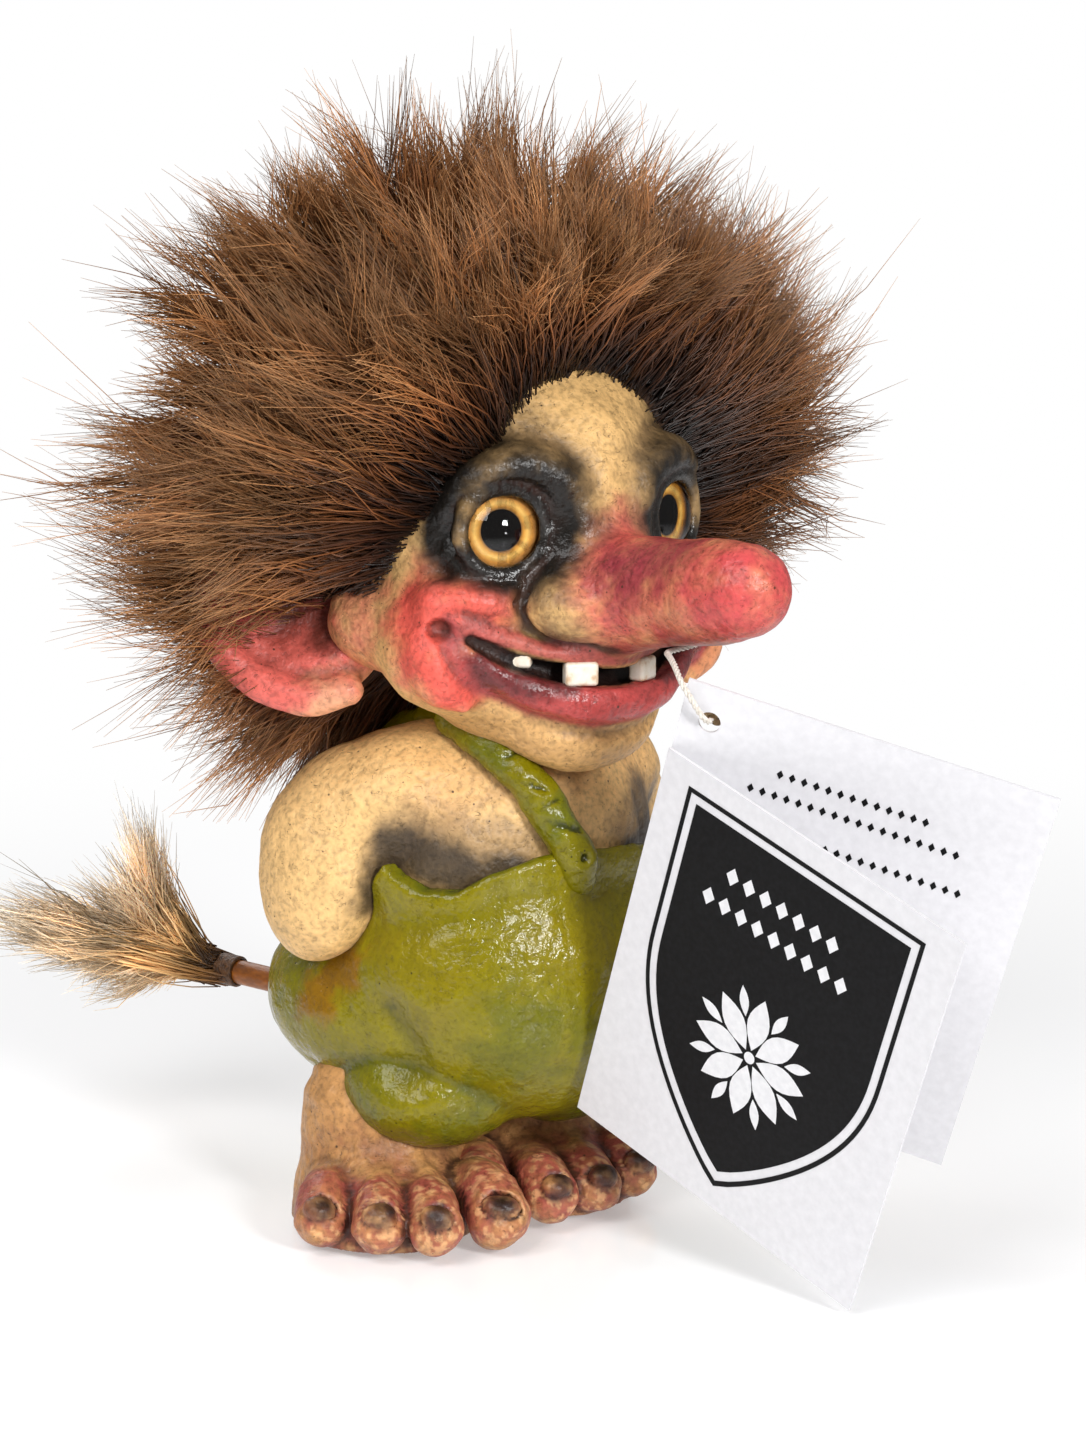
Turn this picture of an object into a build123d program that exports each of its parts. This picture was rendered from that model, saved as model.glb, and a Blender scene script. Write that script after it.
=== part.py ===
"""A hand-painted souvenir troll: cast body, glass eyes, fur wig, thong tail and a hanging card tag.

Millimetres. The troll stands on Z = 0 and faces -Y, and its own left side is +X.
"""

import os
from math import cos, pi, radians, sin, sqrt, tan

from build123d import *

os.makedirs("parts", exist_ok=True)

# Clearances shared by every piece
seat_gap = 0.12
run_gap = 0.3
overrun = 200.0

# Torso and neck spigot
torso_width = 42.0
torso_depth = 34.0
torso_height = 36.0
torso_level = 50.0
torso_forward = 2.0
neck_radius = 8.0
neck_top = 76.0
neck_forward = 4.0

# Head: cranium, jaw, cheeks and brow
cranium_width = 44.0
cranium_depth = 36.0
cranium_height = 48.0
cranium_level = 92.0
cranium_forward = 6.5
jaw_width = 34.0
jaw_depth = 29.0
jaw_height = 22.0
jaw_level = 73.0
jaw_forward = 12.0
cheek_width = 18.0
cheek_depth = 19.0
cheek_height = 19.0
cheek_level = 77.0
cheek_forward = 12.0
cheek_spread = 16.0
dimple_radius = 1.6

# Nose, with its axis pitched upwards
nose_root_radius = 8.4
nose_middle_radius = 6.9
nose_tip_radius = 5.4
nose_root_level = 82.8
nose_root_forward = 18.0
nose_length = 38.0
nose_middle_share = 0.52
nose_pitch = 8.0
nostril_width = 11.0
nostril_depth = 13.0
nostril_height = 9.0
nostril_spread = 6.6
nostril_level = 82.0
nostril_forward = 22.5

# Mouth: the grin is an arc through its two corners and its middle
grin_half_width = 14.5
grin_corner_forward = 17.5
grin_corner_level = 77.4
grin_middle_forward = 26.5
grin_middle_level = 72.6
mouth_radius = 2.1
lower_lip_radius = 2.5
lower_lip_drop = 3.9
upper_lip_radius = 1.5
upper_lip_rise = 2.9
lip_inset_share = 0.4

# Teeth: widths, and places along the grin as shares of its half width
tooth_widths = {"right_tooth": 2.9, "middle_tooth": 4.2, "left_tooth": 3.6}
tooth_place_shares = {"right_tooth": -0.78, "middle_tooth": -0.36, "left_tooth": 0.30}
tooth_height = 3.0
tooth_depth = 2.2
tooth_edge = 0.5
tooth_hang_share = 0.28

# Glass eyes
eye_radius = 6.0
eye_spread = 12.1
eye_forward = 16.7
eye_level = 91.8
eye_turn = 20.0
dome_plane = 3.3
iris_thickness = 0.6
pupil_radius = 2.6
stem_radius = 1.1
stem_length = 3.2
lid_ring_radius = 5.7
lid_radius = 1.2
lid_plane = 2.4
socket_width = 15.0
socket_depth = 9.0
socket_height = 13.0

# Ears: flattened shells that sweep out and back
ear_length = 24.5
ear_height = 24.0
ear_thickness = 7.0
ear_root_spread = 16.5
ear_root_forward = 3.5
ear_level = 81.0
ear_sweep = 40.0
ear_tilt = 22.0
concha_depth = 2.4
concha_size_share = 0.62
concha_shift = 2.5

# Arms
arm_width = 18.0
arm_depth = 18.5
arm_height = 27.0
arm_spread = 24.0
arm_back = 4.5
arm_level = 48.5
arm_splay = 14.0

# Legs and feet: each foot is turned about its own ankle
ankle_radius = 11.0
leg_top = 23.0
foot_length = 32.0
foot_width = 25.0
foot_height = 23.0
foot_reach = 3.5
right_ankle_spread = 14.0
left_ankle_spread = 8.5
ankle_back = 4.5
right_foot_turn = 33.0
left_foot_turn = 13.0
toe_width = 7.4
big_toe_width = 8.8
toe_length = 15.0
toe_height = 10.0
toe_level_share = 0.42
toe_row_reach = 16.6
toe_reach_shares = (-0.26, -0.03, 0.06, -0.16)
toe_side_shares = (0.68, 0.12, -0.42, -1.05)

# Dungarees: seat, belly, bib and trouser legs
seat_width = 52.0
seat_depth = 46.0
seat_height = 30.0
seat_level = 28.0
seat_back = 7.5
belly_width = 46.0
belly_depth = 40.0
belly_height = 41.0
belly_level = 33.0
belly_forward = 4.5
trouser_width = 24.0
trouser_height = 18.0
trouser_level = 16.5
trouser_forward = 1.5
trouser_side_share = 0.86
bib_thickness = 2.6
rim_front_level = 51.0
rim_dip_level = 46.0
rim_peak_level = 48.5
rim_arm_level = 37.5
rim_back_level = 43.0
rim_peak_forward = 7.0
rim_front_forward = 21.0
rim_dip_forward = 14.5
rim_arm_back = 4.0
rim_back_start = 14.0

# Shoulder strap and its button
strap_width = 5.6
strap_thickness = 4.0
strap_side = 6.0
strap_lean = 28.0
strap_lean_level = 57.0
strap_front_level = 46.5
button_radius = 1.9
button_height = 1.3
button_level = 50.0
button_side = 2.6

# Inner fillings
core_wall = 6.5
head_core_width = 22.0
head_core_depth = 15.0
head_core_height = 28.0
head_core_level = 97.0

# Fur wig: hide cap and the mane
hide_thickness = 1.1
hairline_forward = 22.0
hairline_level = 110.0
nape_back = 14.0
nape_level = 62.0
mane_width = 114.0
mane_depth = 86.0
mane_height = 94.0
mane_level = 98.5
mane_back = 2.0
mane_parting = 14.0
crown_level = 116.0
fringe_forward = 6.0
window_rise = 6.0

# Tail: socket plug, thong, binding and tuft
tail_side = 6.0
tail_root_back = 31.0
tail_root_level = 22.6
tail_turn = 17.6
tail_rise = 3.0
thong_radius = 1.7
thong_length = 20.5
plug_radius = 1.6
plug_length = 9.0
binding_length = 3.2
binding_thickness = 0.5
tuft_length = 34.0
tuft_width = 16.0
tuft_turn = 45.0
tuft_overlap = 3.0
lock_height = 20.0
lock_width = 9.0
lock_forward_share = 0.3
lock_rise_share = 0.5

# Card tag: two leaves that share a fold, held out by its string
tag_width = 45.6
tag_height = 55.0
tag_card = 0.35
tag_step = 9.5
tag_corner = (-7.1, -47.8, 76.45)
fold_lean = 24.5
fold_heading = 79.6
leaf_heading = -55.5
leaf_angle = 26.4
hole_radius = 1.35
hole_inset = 3.8
hole_drop = 4.8
fold_gap = 0.15

# String from behind the left ear to the tag
string_radius = 0.38
arc_run_share = 0.45
knot_radius = 1.75
string_route = [
    (26.85, -4.25, 87.8),
    (27.6, -12.2, 82.4),
    (25.0, -21.2, 80.2),
    (18.6, -28.6, 79.2),
    (10.5, -33.2, 78.4),
    (4.5, -35.7, 77.9),
]
# The rest of its way, measured from the hole: across and down the rear leaf, and out of its print
hole_route = [
    (-8.7, -0.9, -11.2),
    (-7.5, -3.2, -6.6),
    (-5.9, -4.4, -2.5),
    (-4.45, -4.5, 0.5),
    (-2.6, -3.2, 1.4),
    (-0.9, -1.2, 1.2),
    (0.0, 0.0, 0.1),
]


def egg(middle, sizes, grow=0.0, turn=(0, 0, 0)):
    """An ellipsoid of the given full sizes, grown all round, as a part of its own."""
    with BuildPart(mode=Mode.PRIVATE) as form:
        Sphere(1)
        scale(by=tuple(size / 2 + grow for size in sizes))
    return Location(middle, turn) * form.part


def beyond(plane):
    """A block that covers everything on the far side of a plane."""
    with BuildPart(plane, mode=Mode.PRIVATE) as block:
        Box(2 * overrun, 2 * overrun, overrun, align=(Align.CENTER, Align.CENTER, Align.MIN))
    return block.part


def between_levels(low, high):
    """A block that covers everything between two heights."""
    with BuildPart(Plane.XY.offset(low), mode=Mode.PRIVATE) as block:
        Box(2 * overrun, 2 * overrun, high - low, align=(Align.CENTER, Align.CENTER, Align.MIN))
    return block.part


def finish(piece, name):
    """Label one finished piece and write its file."""
    piece.part.label = name
    export_step(piece.part, f"parts/{name}.step")
    return piece.part


# The main forms, which their neighbours are cut to fit


def torso_form(grow=0.0):
    return egg((0, -torso_forward, torso_level), (torso_width, torso_depth, torso_height), grow)


def cranium_form(grow=0.0):
    middle = (0, -cranium_forward, cranium_level)
    return egg(middle, (cranium_width, cranium_depth, cranium_height), grow)


def jaw_form(grow=0.0):
    return egg((0, -jaw_forward, jaw_level), (jaw_width, jaw_depth, jaw_height), grow)


def cheek_form(side, grow=0.0):
    middle = (side * cheek_spread, -cheek_forward, cheek_level)
    return egg(middle, (cheek_width, cheek_depth, cheek_height), grow)


def neck_form(grow=0.0):
    with BuildPart(Plane((0, -neck_forward, torso_level)), mode=Mode.PRIVATE) as spigot:
        Cylinder(
            neck_radius + grow,
            neck_top - torso_level + grow,
            align=(Align.CENTER, Align.CENTER, Align.MIN),
        )
    return spigot.part


def arm_form(side, grow=0.0):
    middle = (side * arm_spread, arm_back, arm_level)
    return egg(middle, (arm_width, arm_depth, arm_height), grow, (0, -side * arm_splay, 0))


def ear_form(side, grow=0.0):
    """The ear as a flat egg that starts inside the head and sweeps out and back."""
    reach = ear_length / 2
    middle = (
        side * (ear_root_spread + reach * cos(radians(ear_sweep))),
        -ear_root_forward + reach * sin(radians(ear_sweep)),
        ear_level,
    )
    sizes = (ear_length, ear_thickness, ear_height)
    return egg(middle, sizes, grow, (0, -side * ear_tilt, side * ear_sweep))


def head_blank(grow=0.0):
    """The head without nose, mouth and eyes, for the pieces that sit against it."""
    with BuildPart(mode=Mode.PRIVATE) as blank:
        add(cranium_form(grow))
        add(jaw_form(grow))
        for side in (-1, 1):
            add(cheek_form(side, grow))
    return blank.part


head_clearance = head_blank(seat_gap)


# Legs: ankle column, foot and four toes, cut flat on the floor


def ankle_place(side):
    spread = left_ankle_spread if side > 0 else right_ankle_spread
    return Vector(side * spread, ankle_back, 0)


def foot_turn(side):
    return -left_foot_turn if side > 0 else -right_foot_turn


def leg_form(side, grow=0.0):
    """Ankle column and foot, without the toes."""
    ankle = ankle_place(side)
    turned = Location(ankle, (0, 0, foot_turn(side)))
    with BuildPart(mode=Mode.PRIVATE) as leg:
        with Locations(ankle):
            Cylinder(ankle_radius + grow, leg_top + grow, align=(Align.CENTER, Align.CENTER, Align.MIN))
        foot = egg((0, -foot_reach, 0), (foot_width, foot_length, foot_height), grow)
        add(turned * foot)
    return leg.part


def toe_forms(side, grow=0.0):
    """Four toes across the front of the foot, the big toe on the inner side."""
    ankle = ankle_place(side)
    turned = Location(ankle, (0, 0, foot_turn(side)))
    toes = []
    for place, (reach_share, side_share) in enumerate(zip(toe_reach_shares, toe_side_shares)):
        width = big_toe_width if place == len(toe_side_shares) - 1 else toe_width
        across = side * side_share * foot_width / 2
        forward = toe_row_reach * (1 + reach_share)
        middle = (across, -forward, toe_level_share * toe_height)
        toes.append(turned * egg(middle, (width, toe_length, toe_height), grow))
    return toes


legs = {}
for side, name in ((-1, "right_leg"), (1, "left_leg")):
    with BuildPart() as leg:
        add(leg_form(side))
        for toe in toe_forms(side):
            add(toe)
        add(between_levels(-overrun, 0), mode=Mode.SUBTRACT)
        if side > 0:
            add(legs["right_leg_grown"], mode=Mode.SUBTRACT)
    legs[name] = finish(leg, name)
    if side < 0:
        with BuildPart(mode=Mode.PRIVATE) as grown:
            add(leg_form(side, seat_gap))
            for toe in toe_forms(side)[-1:]:
                add(toe)
        legs["right_leg_grown"] = grown.part


# Dungarees: moulded over the torso, with a rim that dips under each arm


def trouser_form(side):
    ankle = ankle_place(side)
    middle = (ankle.X * trouser_side_share, -trouser_forward, trouser_level)
    return egg(middle, (trouser_width, trouser_width, trouser_height))


def above_rim():
    """Everything over the neckline, drawn in side view and run across the body."""
    with BuildPart(mode=Mode.PRIVATE) as block:
        with BuildSketch(Plane.YZ):
            with BuildLine():
                Polyline(
                    (-overrun, overrun),
                    (-overrun, rim_front_level),
                    (-rim_front_forward, rim_front_level),
                )
                Spline(
                    (-rim_front_forward, rim_front_level),
                    (-rim_dip_forward, rim_dip_level),
                    (-rim_peak_forward, rim_peak_level),
                )
                Spline(
                    (-rim_peak_forward, rim_peak_level),
                    (rim_arm_back, rim_arm_level),
                    (rim_back_start, rim_back_level),
                )
                Polyline(
                    (rim_back_start, rim_back_level),
                    (overrun, rim_back_level),
                    (overrun, overrun),
                    (-overrun, overrun),
                )
            make_face()
        extrude(amount=overrun, both=True)
    return block.part


tail_seat = Vector(-tail_side, tail_root_back, tail_root_level)
tail_direction = Vector(
    -sin(radians(tail_turn)) * cos(radians(tail_rise)),
    cos(radians(tail_turn)) * cos(radians(tail_rise)),
    sin(radians(tail_rise)),
)
tail_side_axis = Vector(cos(radians(tail_turn)), sin(radians(tail_turn)), 0)


def plug_form(grow=0.0):
    """A peg that fills the tail hole and ends just short of the thong's round end."""
    base = Plane(tail_seat - tail_direction * (thong_radius + run_gap), x_dir=tail_side_axis, z_dir=-tail_direction)
    with BuildPart(base, mode=Mode.PRIVATE) as peg:
        Cylinder(plug_radius + grow, plug_length + grow, align=(Align.CENTER, Align.CENTER, Align.MIN))
    return peg.part


with BuildPart() as dungarees:
    add(egg((0, seat_back, seat_level), (seat_width, seat_depth, seat_height)))
    add(egg((0, -belly_forward, belly_level), (belly_width, belly_depth, belly_height)))
    add(torso_form(bib_thickness))
    for side in (-1, 1):
        add(trouser_form(side))
    add(above_rim(), mode=Mode.SUBTRACT)
    add(torso_form(seat_gap), mode=Mode.SUBTRACT)
    for side in (-1, 1):
        add(arm_form(side, seat_gap), mode=Mode.SUBTRACT)
        add(leg_form(side, seat_gap), mode=Mode.SUBTRACT)
        for toe in toe_forms(side, seat_gap):
            add(toe, mode=Mode.SUBTRACT)
    add(plug_form(seat_gap), mode=Mode.SUBTRACT)
finish(dungarees, "dungarees")


# Torso: egg with a spigot that enters the head, hollow round its filling


def body_core_form(grow=0.0):
    sizes = (torso_width - 2 * core_wall, torso_depth - 2 * core_wall, torso_height - 2 * core_wall)
    return egg((0, -torso_forward, torso_level - core_wall / 2), sizes, grow)


with BuildPart() as torso:
    add(torso_form())
    add(head_clearance, mode=Mode.SUBTRACT)
    add(cranium_form(hide_thickness + seat_gap), mode=Mode.SUBTRACT)
    add(neck_form())
    add(body_core_form(seat_gap), mode=Mode.SUBTRACT)
finish(torso, "torso")

with BuildPart() as body_core:
    add(body_core_form())
finish(body_core, "body_core")

with BuildPart() as left_arm:
    add(arm_form(1))
    add(torso_form(seat_gap), mode=Mode.SUBTRACT)
finish(left_arm, "left_arm")

with BuildPart() as right_arm:
    mirror(left_arm.part, about=Plane.YZ)
finish(right_arm, "right_arm")


# Shoulder strap: one leaning slice of a skin over the torso


def strap_slab():
    middle = (-strap_side, 0, strap_lean_level)
    with BuildPart(mode=Mode.PRIVATE) as slab:
        Box(strap_width, 2 * overrun, 2 * overrun)
    return Location(middle, (0, -strap_lean, 0)) * slab.part


with BuildPart() as shoulder_strap:
    add(torso_form(strap_thickness))
    add(torso_form(seat_gap), mode=Mode.SUBTRACT)
    add(strap_slab(), mode=Mode.INTERSECT)
    add(between_levels(strap_front_level, overrun), mode=Mode.INTERSECT)
    add(head_clearance, mode=Mode.SUBTRACT)
    for side in (-1, 1):
        add(arm_form(side, seat_gap), mode=Mode.SUBTRACT)
    add(neck_form(seat_gap), mode=Mode.SUBTRACT)
    with BuildPart(mode=Mode.PRIVATE) as bib_skin:
        add(torso_form(bib_thickness + seat_gap))
        add(egg((0, -belly_forward, belly_level), (belly_width, belly_depth, belly_height), seat_gap))
        add(above_rim(), mode=Mode.SUBTRACT)
    add(bib_skin.part, mode=Mode.SUBTRACT)
finish(shoulder_strap, "shoulder_strap")


def strap_front(level):
    """How far forward the strap's outer face is at a height, beside the middle line."""
    rise = (level - torso_level) / (torso_height / 2 + strap_thickness)
    across = button_side / (torso_width / 2 + strap_thickness)
    reach = (torso_depth / 2 + strap_thickness) * sqrt(1 - rise**2 - across**2)
    return torso_forward + reach


button_foot = Vector(-button_side, -strap_front(button_level), button_level)
button_normal = (button_foot - Vector(0, -torso_forward, torso_level)).normalized()
button_plane = Plane(button_foot - button_normal * button_height, z_dir=button_normal)
with BuildPart(button_plane, mode=Mode.PRIVATE) as button_blank:
    Cylinder(button_radius, button_height * 2, align=(Align.CENTER, Align.CENTER, Align.MIN))
    fillet(button_blank.edges().sort_by(Axis(button_foot, button_normal))[-1], button_height / 2)

with BuildPart() as strap_button:
    add(button_blank.part)
    add(torso_form(strap_thickness + seat_gap), mode=Mode.SUBTRACT)
finish(strap_button, "strap_button")


# Head


def nose_form():
    """A club nose turned from one profile, with a round tip."""
    axis = Vector(0, -cos(radians(nose_pitch)), sin(radians(nose_pitch)))
    place = Plane((0, -nose_root_forward, nose_root_level), x_dir=(1, 0, 0), z_dir=axis)
    middle_at = nose_middle_share * nose_length
    tip_at = nose_length - nose_tip_radius
    with BuildPart(mode=Mode.PRIVATE) as nose:
        with BuildSketch(Plane.XZ):
            with BuildLine():
                Line((0, nose_length), (0, 0))
                Line((0, 0), (nose_root_radius, 0))
                flank = Spline((nose_root_radius, 0), (nose_middle_radius, middle_at), (nose_tip_radius, tip_at))
                RadiusArc(flank @ 1, (0, nose_length), -nose_tip_radius)
            make_face()
        revolve(axis=Axis.Z)
    return place.location * nose.part


def grin_arc(forward=0.0, rise=0.0, inset=0.0):
    """The line of the grin, moved forward and up, drawn in at its corners."""
    corner = grin_half_width - inset
    return ThreePointArc(
        (-corner, -grin_corner_forward - forward, grin_corner_level + rise),
        (0, -grin_middle_forward - forward, grin_middle_level + rise),
        (corner, -grin_corner_forward - forward, grin_corner_level + rise),
    )


def lip_form(radius, forward=0.0, rise=0.0, inset=0.0):
    """A round bar along the grin with ball ends."""
    with BuildPart(mode=Mode.PRIVATE) as bar:
        with BuildLine() as path:
            grin_arc(forward, rise, inset)
        start = path.line @ 0
        with BuildSketch(Plane(start, z_dir=path.line % 0)):
            Circle(radius)
        sweep(path=path.line)
        with Locations(start, path.line @ 1):
            Sphere(radius)
    return bar.part


def tooth_plane(name):
    """The place of a tooth on the grin, facing out of the mouth."""
    share = tooth_place_shares[name]
    bow = (1 - share**2) * (grin_middle_forward - grin_corner_forward)
    sag = (1 - share**2) * (grin_corner_level - grin_middle_level)
    place = Vector(
        share * grin_half_width,
        -grin_corner_forward - bow,
        grin_corner_level - sag + tooth_hang_share * tooth_height,
    )
    slope = 2 * share * (grin_middle_forward - grin_corner_forward) / grin_half_width
    outward = Vector(slope, -1, 0).normalized()
    return Plane(place, x_dir=outward.cross(Vector(0, 0, 1)), z_dir=outward)


def tooth_form(name, grow=0.0):
    with BuildPart(tooth_plane(name), mode=Mode.PRIVATE) as tooth:
        Box(tooth_widths[name] + 2 * grow, tooth_height + 2 * grow, tooth_depth + 2 * grow)
        fillet(tooth.edges(), tooth_edge)
    return tooth.part


def eye_plane(side, offset=0.0):
    """A plane square to the eye's axis, offset from the ball's middle."""
    turn = radians(eye_turn)
    middle = Vector(side * eye_spread, -eye_forward, eye_level)
    return Plane(middle, x_dir=(cos(turn), side * sin(turn), 0), z_dir=(side * sin(turn), -cos(turn), 0)).offset(offset)


def eye_sphere(side, grow=0.0):
    with BuildPart(eye_plane(side), mode=Mode.PRIVATE) as ball:
        Sphere(eye_radius + grow)
    return ball.part


def eye_ball(side, grow=0.0):
    """The whole glass eye, ball and stem, for its socket in the head."""
    with BuildPart(eye_plane(side), mode=Mode.PRIVATE) as ball:
        Sphere(eye_radius + grow)
        Cylinder(
            stem_radius + grow,
            eye_radius + stem_length + grow,
            align=(Align.CENTER, Align.CENTER, Align.MAX),
        )
    return ball.part


def head_core_form(grow=0.0):
    return egg((0, 0, head_core_level), (head_core_width, head_core_depth, head_core_height), grow)


with BuildPart() as head:
    add(head_blank())
    for side in (-1, 1):
        middle = (side * nostril_spread, -nostril_forward, nostril_level)
        add(egg(middle, (nostril_width, nostril_depth, nostril_height)))
        socket = eye_plane(side, eye_radius).origin
        add(egg(socket, (socket_width, socket_depth, socket_height)), mode=Mode.SUBTRACT)
    add(lip_form(lower_lip_radius, 0, -lower_lip_drop, lower_lip_radius * lip_inset_share))
    add(lip_form(upper_lip_radius, 0, upper_lip_rise))
    add(nose_form())
    add(lip_form(mouth_radius), mode=Mode.SUBTRACT)
    for side in (-1, 1):
        with BuildPart(eye_plane(side, lid_plane), mode=Mode.PRIVATE) as lids:
            Torus(lid_ring_radius, lid_radius)
        add(lids.part)
        add(eye_ball(side, seat_gap), mode=Mode.SUBTRACT)
        with Locations((side * (cheek_spread + dimple_radius), -cheek_forward - cheek_depth / 2, cheek_level)):
            Sphere(dimple_radius, mode=Mode.SUBTRACT)
    for name in tooth_widths:
        add(tooth_form(name, seat_gap), mode=Mode.SUBTRACT)
    add(neck_form(seat_gap), mode=Mode.SUBTRACT)
    add(head_core_form(seat_gap), mode=Mode.SUBTRACT)
finish(head, "head")

with BuildPart() as head_core:
    add(head_core_form())
finish(head_core, "head_core")

for name in tooth_widths:
    with BuildPart() as tooth:
        add(tooth_form(name))
    finish(tooth, name)

for side, word in ((-1, "right"), (1, "left")):
    with BuildPart() as eye_glass:
        add(eye_sphere(side))
        add(beyond(eye_plane(side, dome_plane)), mode=Mode.INTERSECT)
    finish(eye_glass, f"{word}_eye_glass")

    iris_radius = sqrt(eye_radius**2 - dome_plane**2)
    with BuildPart(eye_plane(side, dome_plane)) as eye_iris:
        Cylinder(iris_radius, iris_thickness, align=(Align.CENTER, Align.CENTER, Align.MAX))
        Cylinder(pupil_radius, iris_thickness, align=(Align.CENTER, Align.CENTER, Align.MAX), mode=Mode.SUBTRACT)
    finish(eye_iris, f"{word}_eye_iris")

    with BuildPart(eye_plane(side, dome_plane)) as eye_pupil:
        Cylinder(pupil_radius, iris_thickness, align=(Align.CENTER, Align.CENTER, Align.MAX))
    finish(eye_pupil, f"{word}_eye_pupil")

    back_plane = eye_plane(side, dome_plane - iris_thickness)
    with BuildPart() as eye_shank:
        add(eye_ball(side))
        add(beyond(back_plane), mode=Mode.SUBTRACT)
    finish(eye_shank, f"{word}_eye_shank")


# Ears, dished on the front face


def ear_directions(side):
    """Along the ear towards its tip, and out of its dished front face."""
    sweep_angle = radians(ear_sweep)
    along = Vector(side * cos(sweep_angle), sin(sweep_angle), 0)
    front = Vector(side * sin(sweep_angle), -cos(sweep_angle), 0)
    return along, front


def concha_form(side):
    """The hollow of the ear, pushed in from the front."""
    along, front = ear_directions(side)
    middle = ear_form(side).center() + front * (ear_thickness - concha_depth) + along * concha_shift
    sizes = (ear_length * concha_size_share, ear_thickness, ear_height * concha_size_share)
    return egg(middle, sizes, 0, (0, -side * ear_tilt, side * ear_sweep))


with BuildPart() as left_ear:
    add(ear_form(1))
    add(concha_form(1), mode=Mode.SUBTRACT)
    add(cranium_form(seat_gap), mode=Mode.SUBTRACT)
    add(jaw_form(seat_gap), mode=Mode.SUBTRACT)
    add(cheek_form(1, seat_gap), mode=Mode.SUBTRACT)
finish(left_ear, "left_ear")

with BuildPart() as right_ear:
    mirror(left_ear.part, about=Plane.YZ)
finish(right_ear, "right_ear")


# Fur wig: the hide cap glued to the cranium, and five masses of fur on it

hairline = Vector(0, -hairline_forward, hairline_level)
hairline_slope = Vector(0, nape_back, nape_level) - hairline
hair_plane = Plane(hairline, x_dir=(1, 0, 0), z_dir=Vector(0, -hairline_slope.Z, hairline_slope.Y))

with BuildPart() as wig_hide:
    add(cranium_form(hide_thickness))
    add(beyond(hair_plane), mode=Mode.INTERSECT)
    add(cranium_form(seat_gap), mode=Mode.SUBTRACT)
    for side in (-1, 1):
        add(ear_form(side, seat_gap), mode=Mode.SUBTRACT)
finish(wig_hide, "wig_hide")

crown_plane = Plane((0, 0, crown_level), z_dir=(0, 0, 1))
fringe_plane = Plane((0, -fringe_forward, 0), z_dir=(0, -1, 0))
partings = {side: Plane((side * mane_parting, 0, 0), z_dir=(side, 0, 0)) for side in (-1, 1)}


def flipped(plane):
    return Plane(plane.origin, x_dir=plane.x_dir, z_dir=-plane.z_dir)


def ear_window(side):
    """The space before an ear and below its top, which the fur is combed back from."""
    along, front = ear_directions(side)
    root = Vector(side * ear_root_spread, -ear_root_forward, ear_level + window_rise)
    with BuildPart(Plane(root, x_dir=along * side, z_dir=front), mode=Mode.PRIVATE) as block:
        with Locations((0, -overrun, -ear_thickness / 2)):
            Box(2 * overrun, 2 * overrun, overrun, align=(Align.CENTER, Align.CENTER, Align.MIN))
    return block.part


def mane_part(name, planes, sides):
    """One mass of fur: the mane kept beyond each plane, and cut clear of all that it lies on."""
    with BuildPart() as fur:
        add(egg((0, mane_back, mane_level), (mane_width, mane_depth, mane_height)))
        for plane in [hair_plane, *planes]:
            add(beyond(flipped(plane).offset(-seat_gap / 2)), mode=Mode.SUBTRACT)
        add(cranium_form(hide_thickness + seat_gap), mode=Mode.SUBTRACT)
        if crown_plane not in planes:
            add(torso_form(strap_thickness + run_gap), mode=Mode.SUBTRACT)
        for side in sides:
            add(ear_window(side), mode=Mode.SUBTRACT)
            add(ear_form(side, run_gap), mode=Mode.SUBTRACT)
            add(arm_form(side, run_gap), mode=Mode.SUBTRACT)
            add(cheek_form(side, run_gap), mode=Mode.SUBTRACT)
    return finish(fur, name)


under_crown = flipped(crown_plane)
mane_part("fur_fringe", [crown_plane, fringe_plane], [])
mane_part("fur_crown", [crown_plane, flipped(fringe_plane)], [])
mane_part("fur_right", [under_crown, partings[-1]], [-1])
mane_part("fur_left", [under_crown, partings[1]], [1])
mane_part("fur_back", [under_crown, flipped(partings[-1]), flipped(partings[1])], [])


# Tail: the thong turns on its round end against the plug

with BuildPart() as tail_plug:
    add(plug_form())
finish(tail_plug, "tail_plug")

thong_plane = Plane(tail_seat, x_dir=tail_side_axis, z_dir=tail_direction)
with BuildPart(thong_plane) as tail_thong:
    Sphere(thong_radius)
    Cylinder(thong_radius, thong_length, align=(Align.CENTER, Align.CENTER, Align.MIN))
finish(tail_thong, "tail_thong")

binding_radius = thong_radius + binding_thickness
with BuildPart(thong_plane.offset(thong_length - tuft_overlap)) as tail_binding:
    Cylinder(binding_radius, binding_length, align=(Align.CENTER, Align.CENTER, Align.MAX))
    fillet(tail_binding.edges().filter_by(GeomType.CIRCLE), binding_thickness / 2)
    Cylinder(thong_radius + seat_gap, binding_length, align=(Align.CENTER, Align.CENTER, Align.MAX), mode=Mode.SUBTRACT)
finish(tail_binding, "tail_binding")

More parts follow.
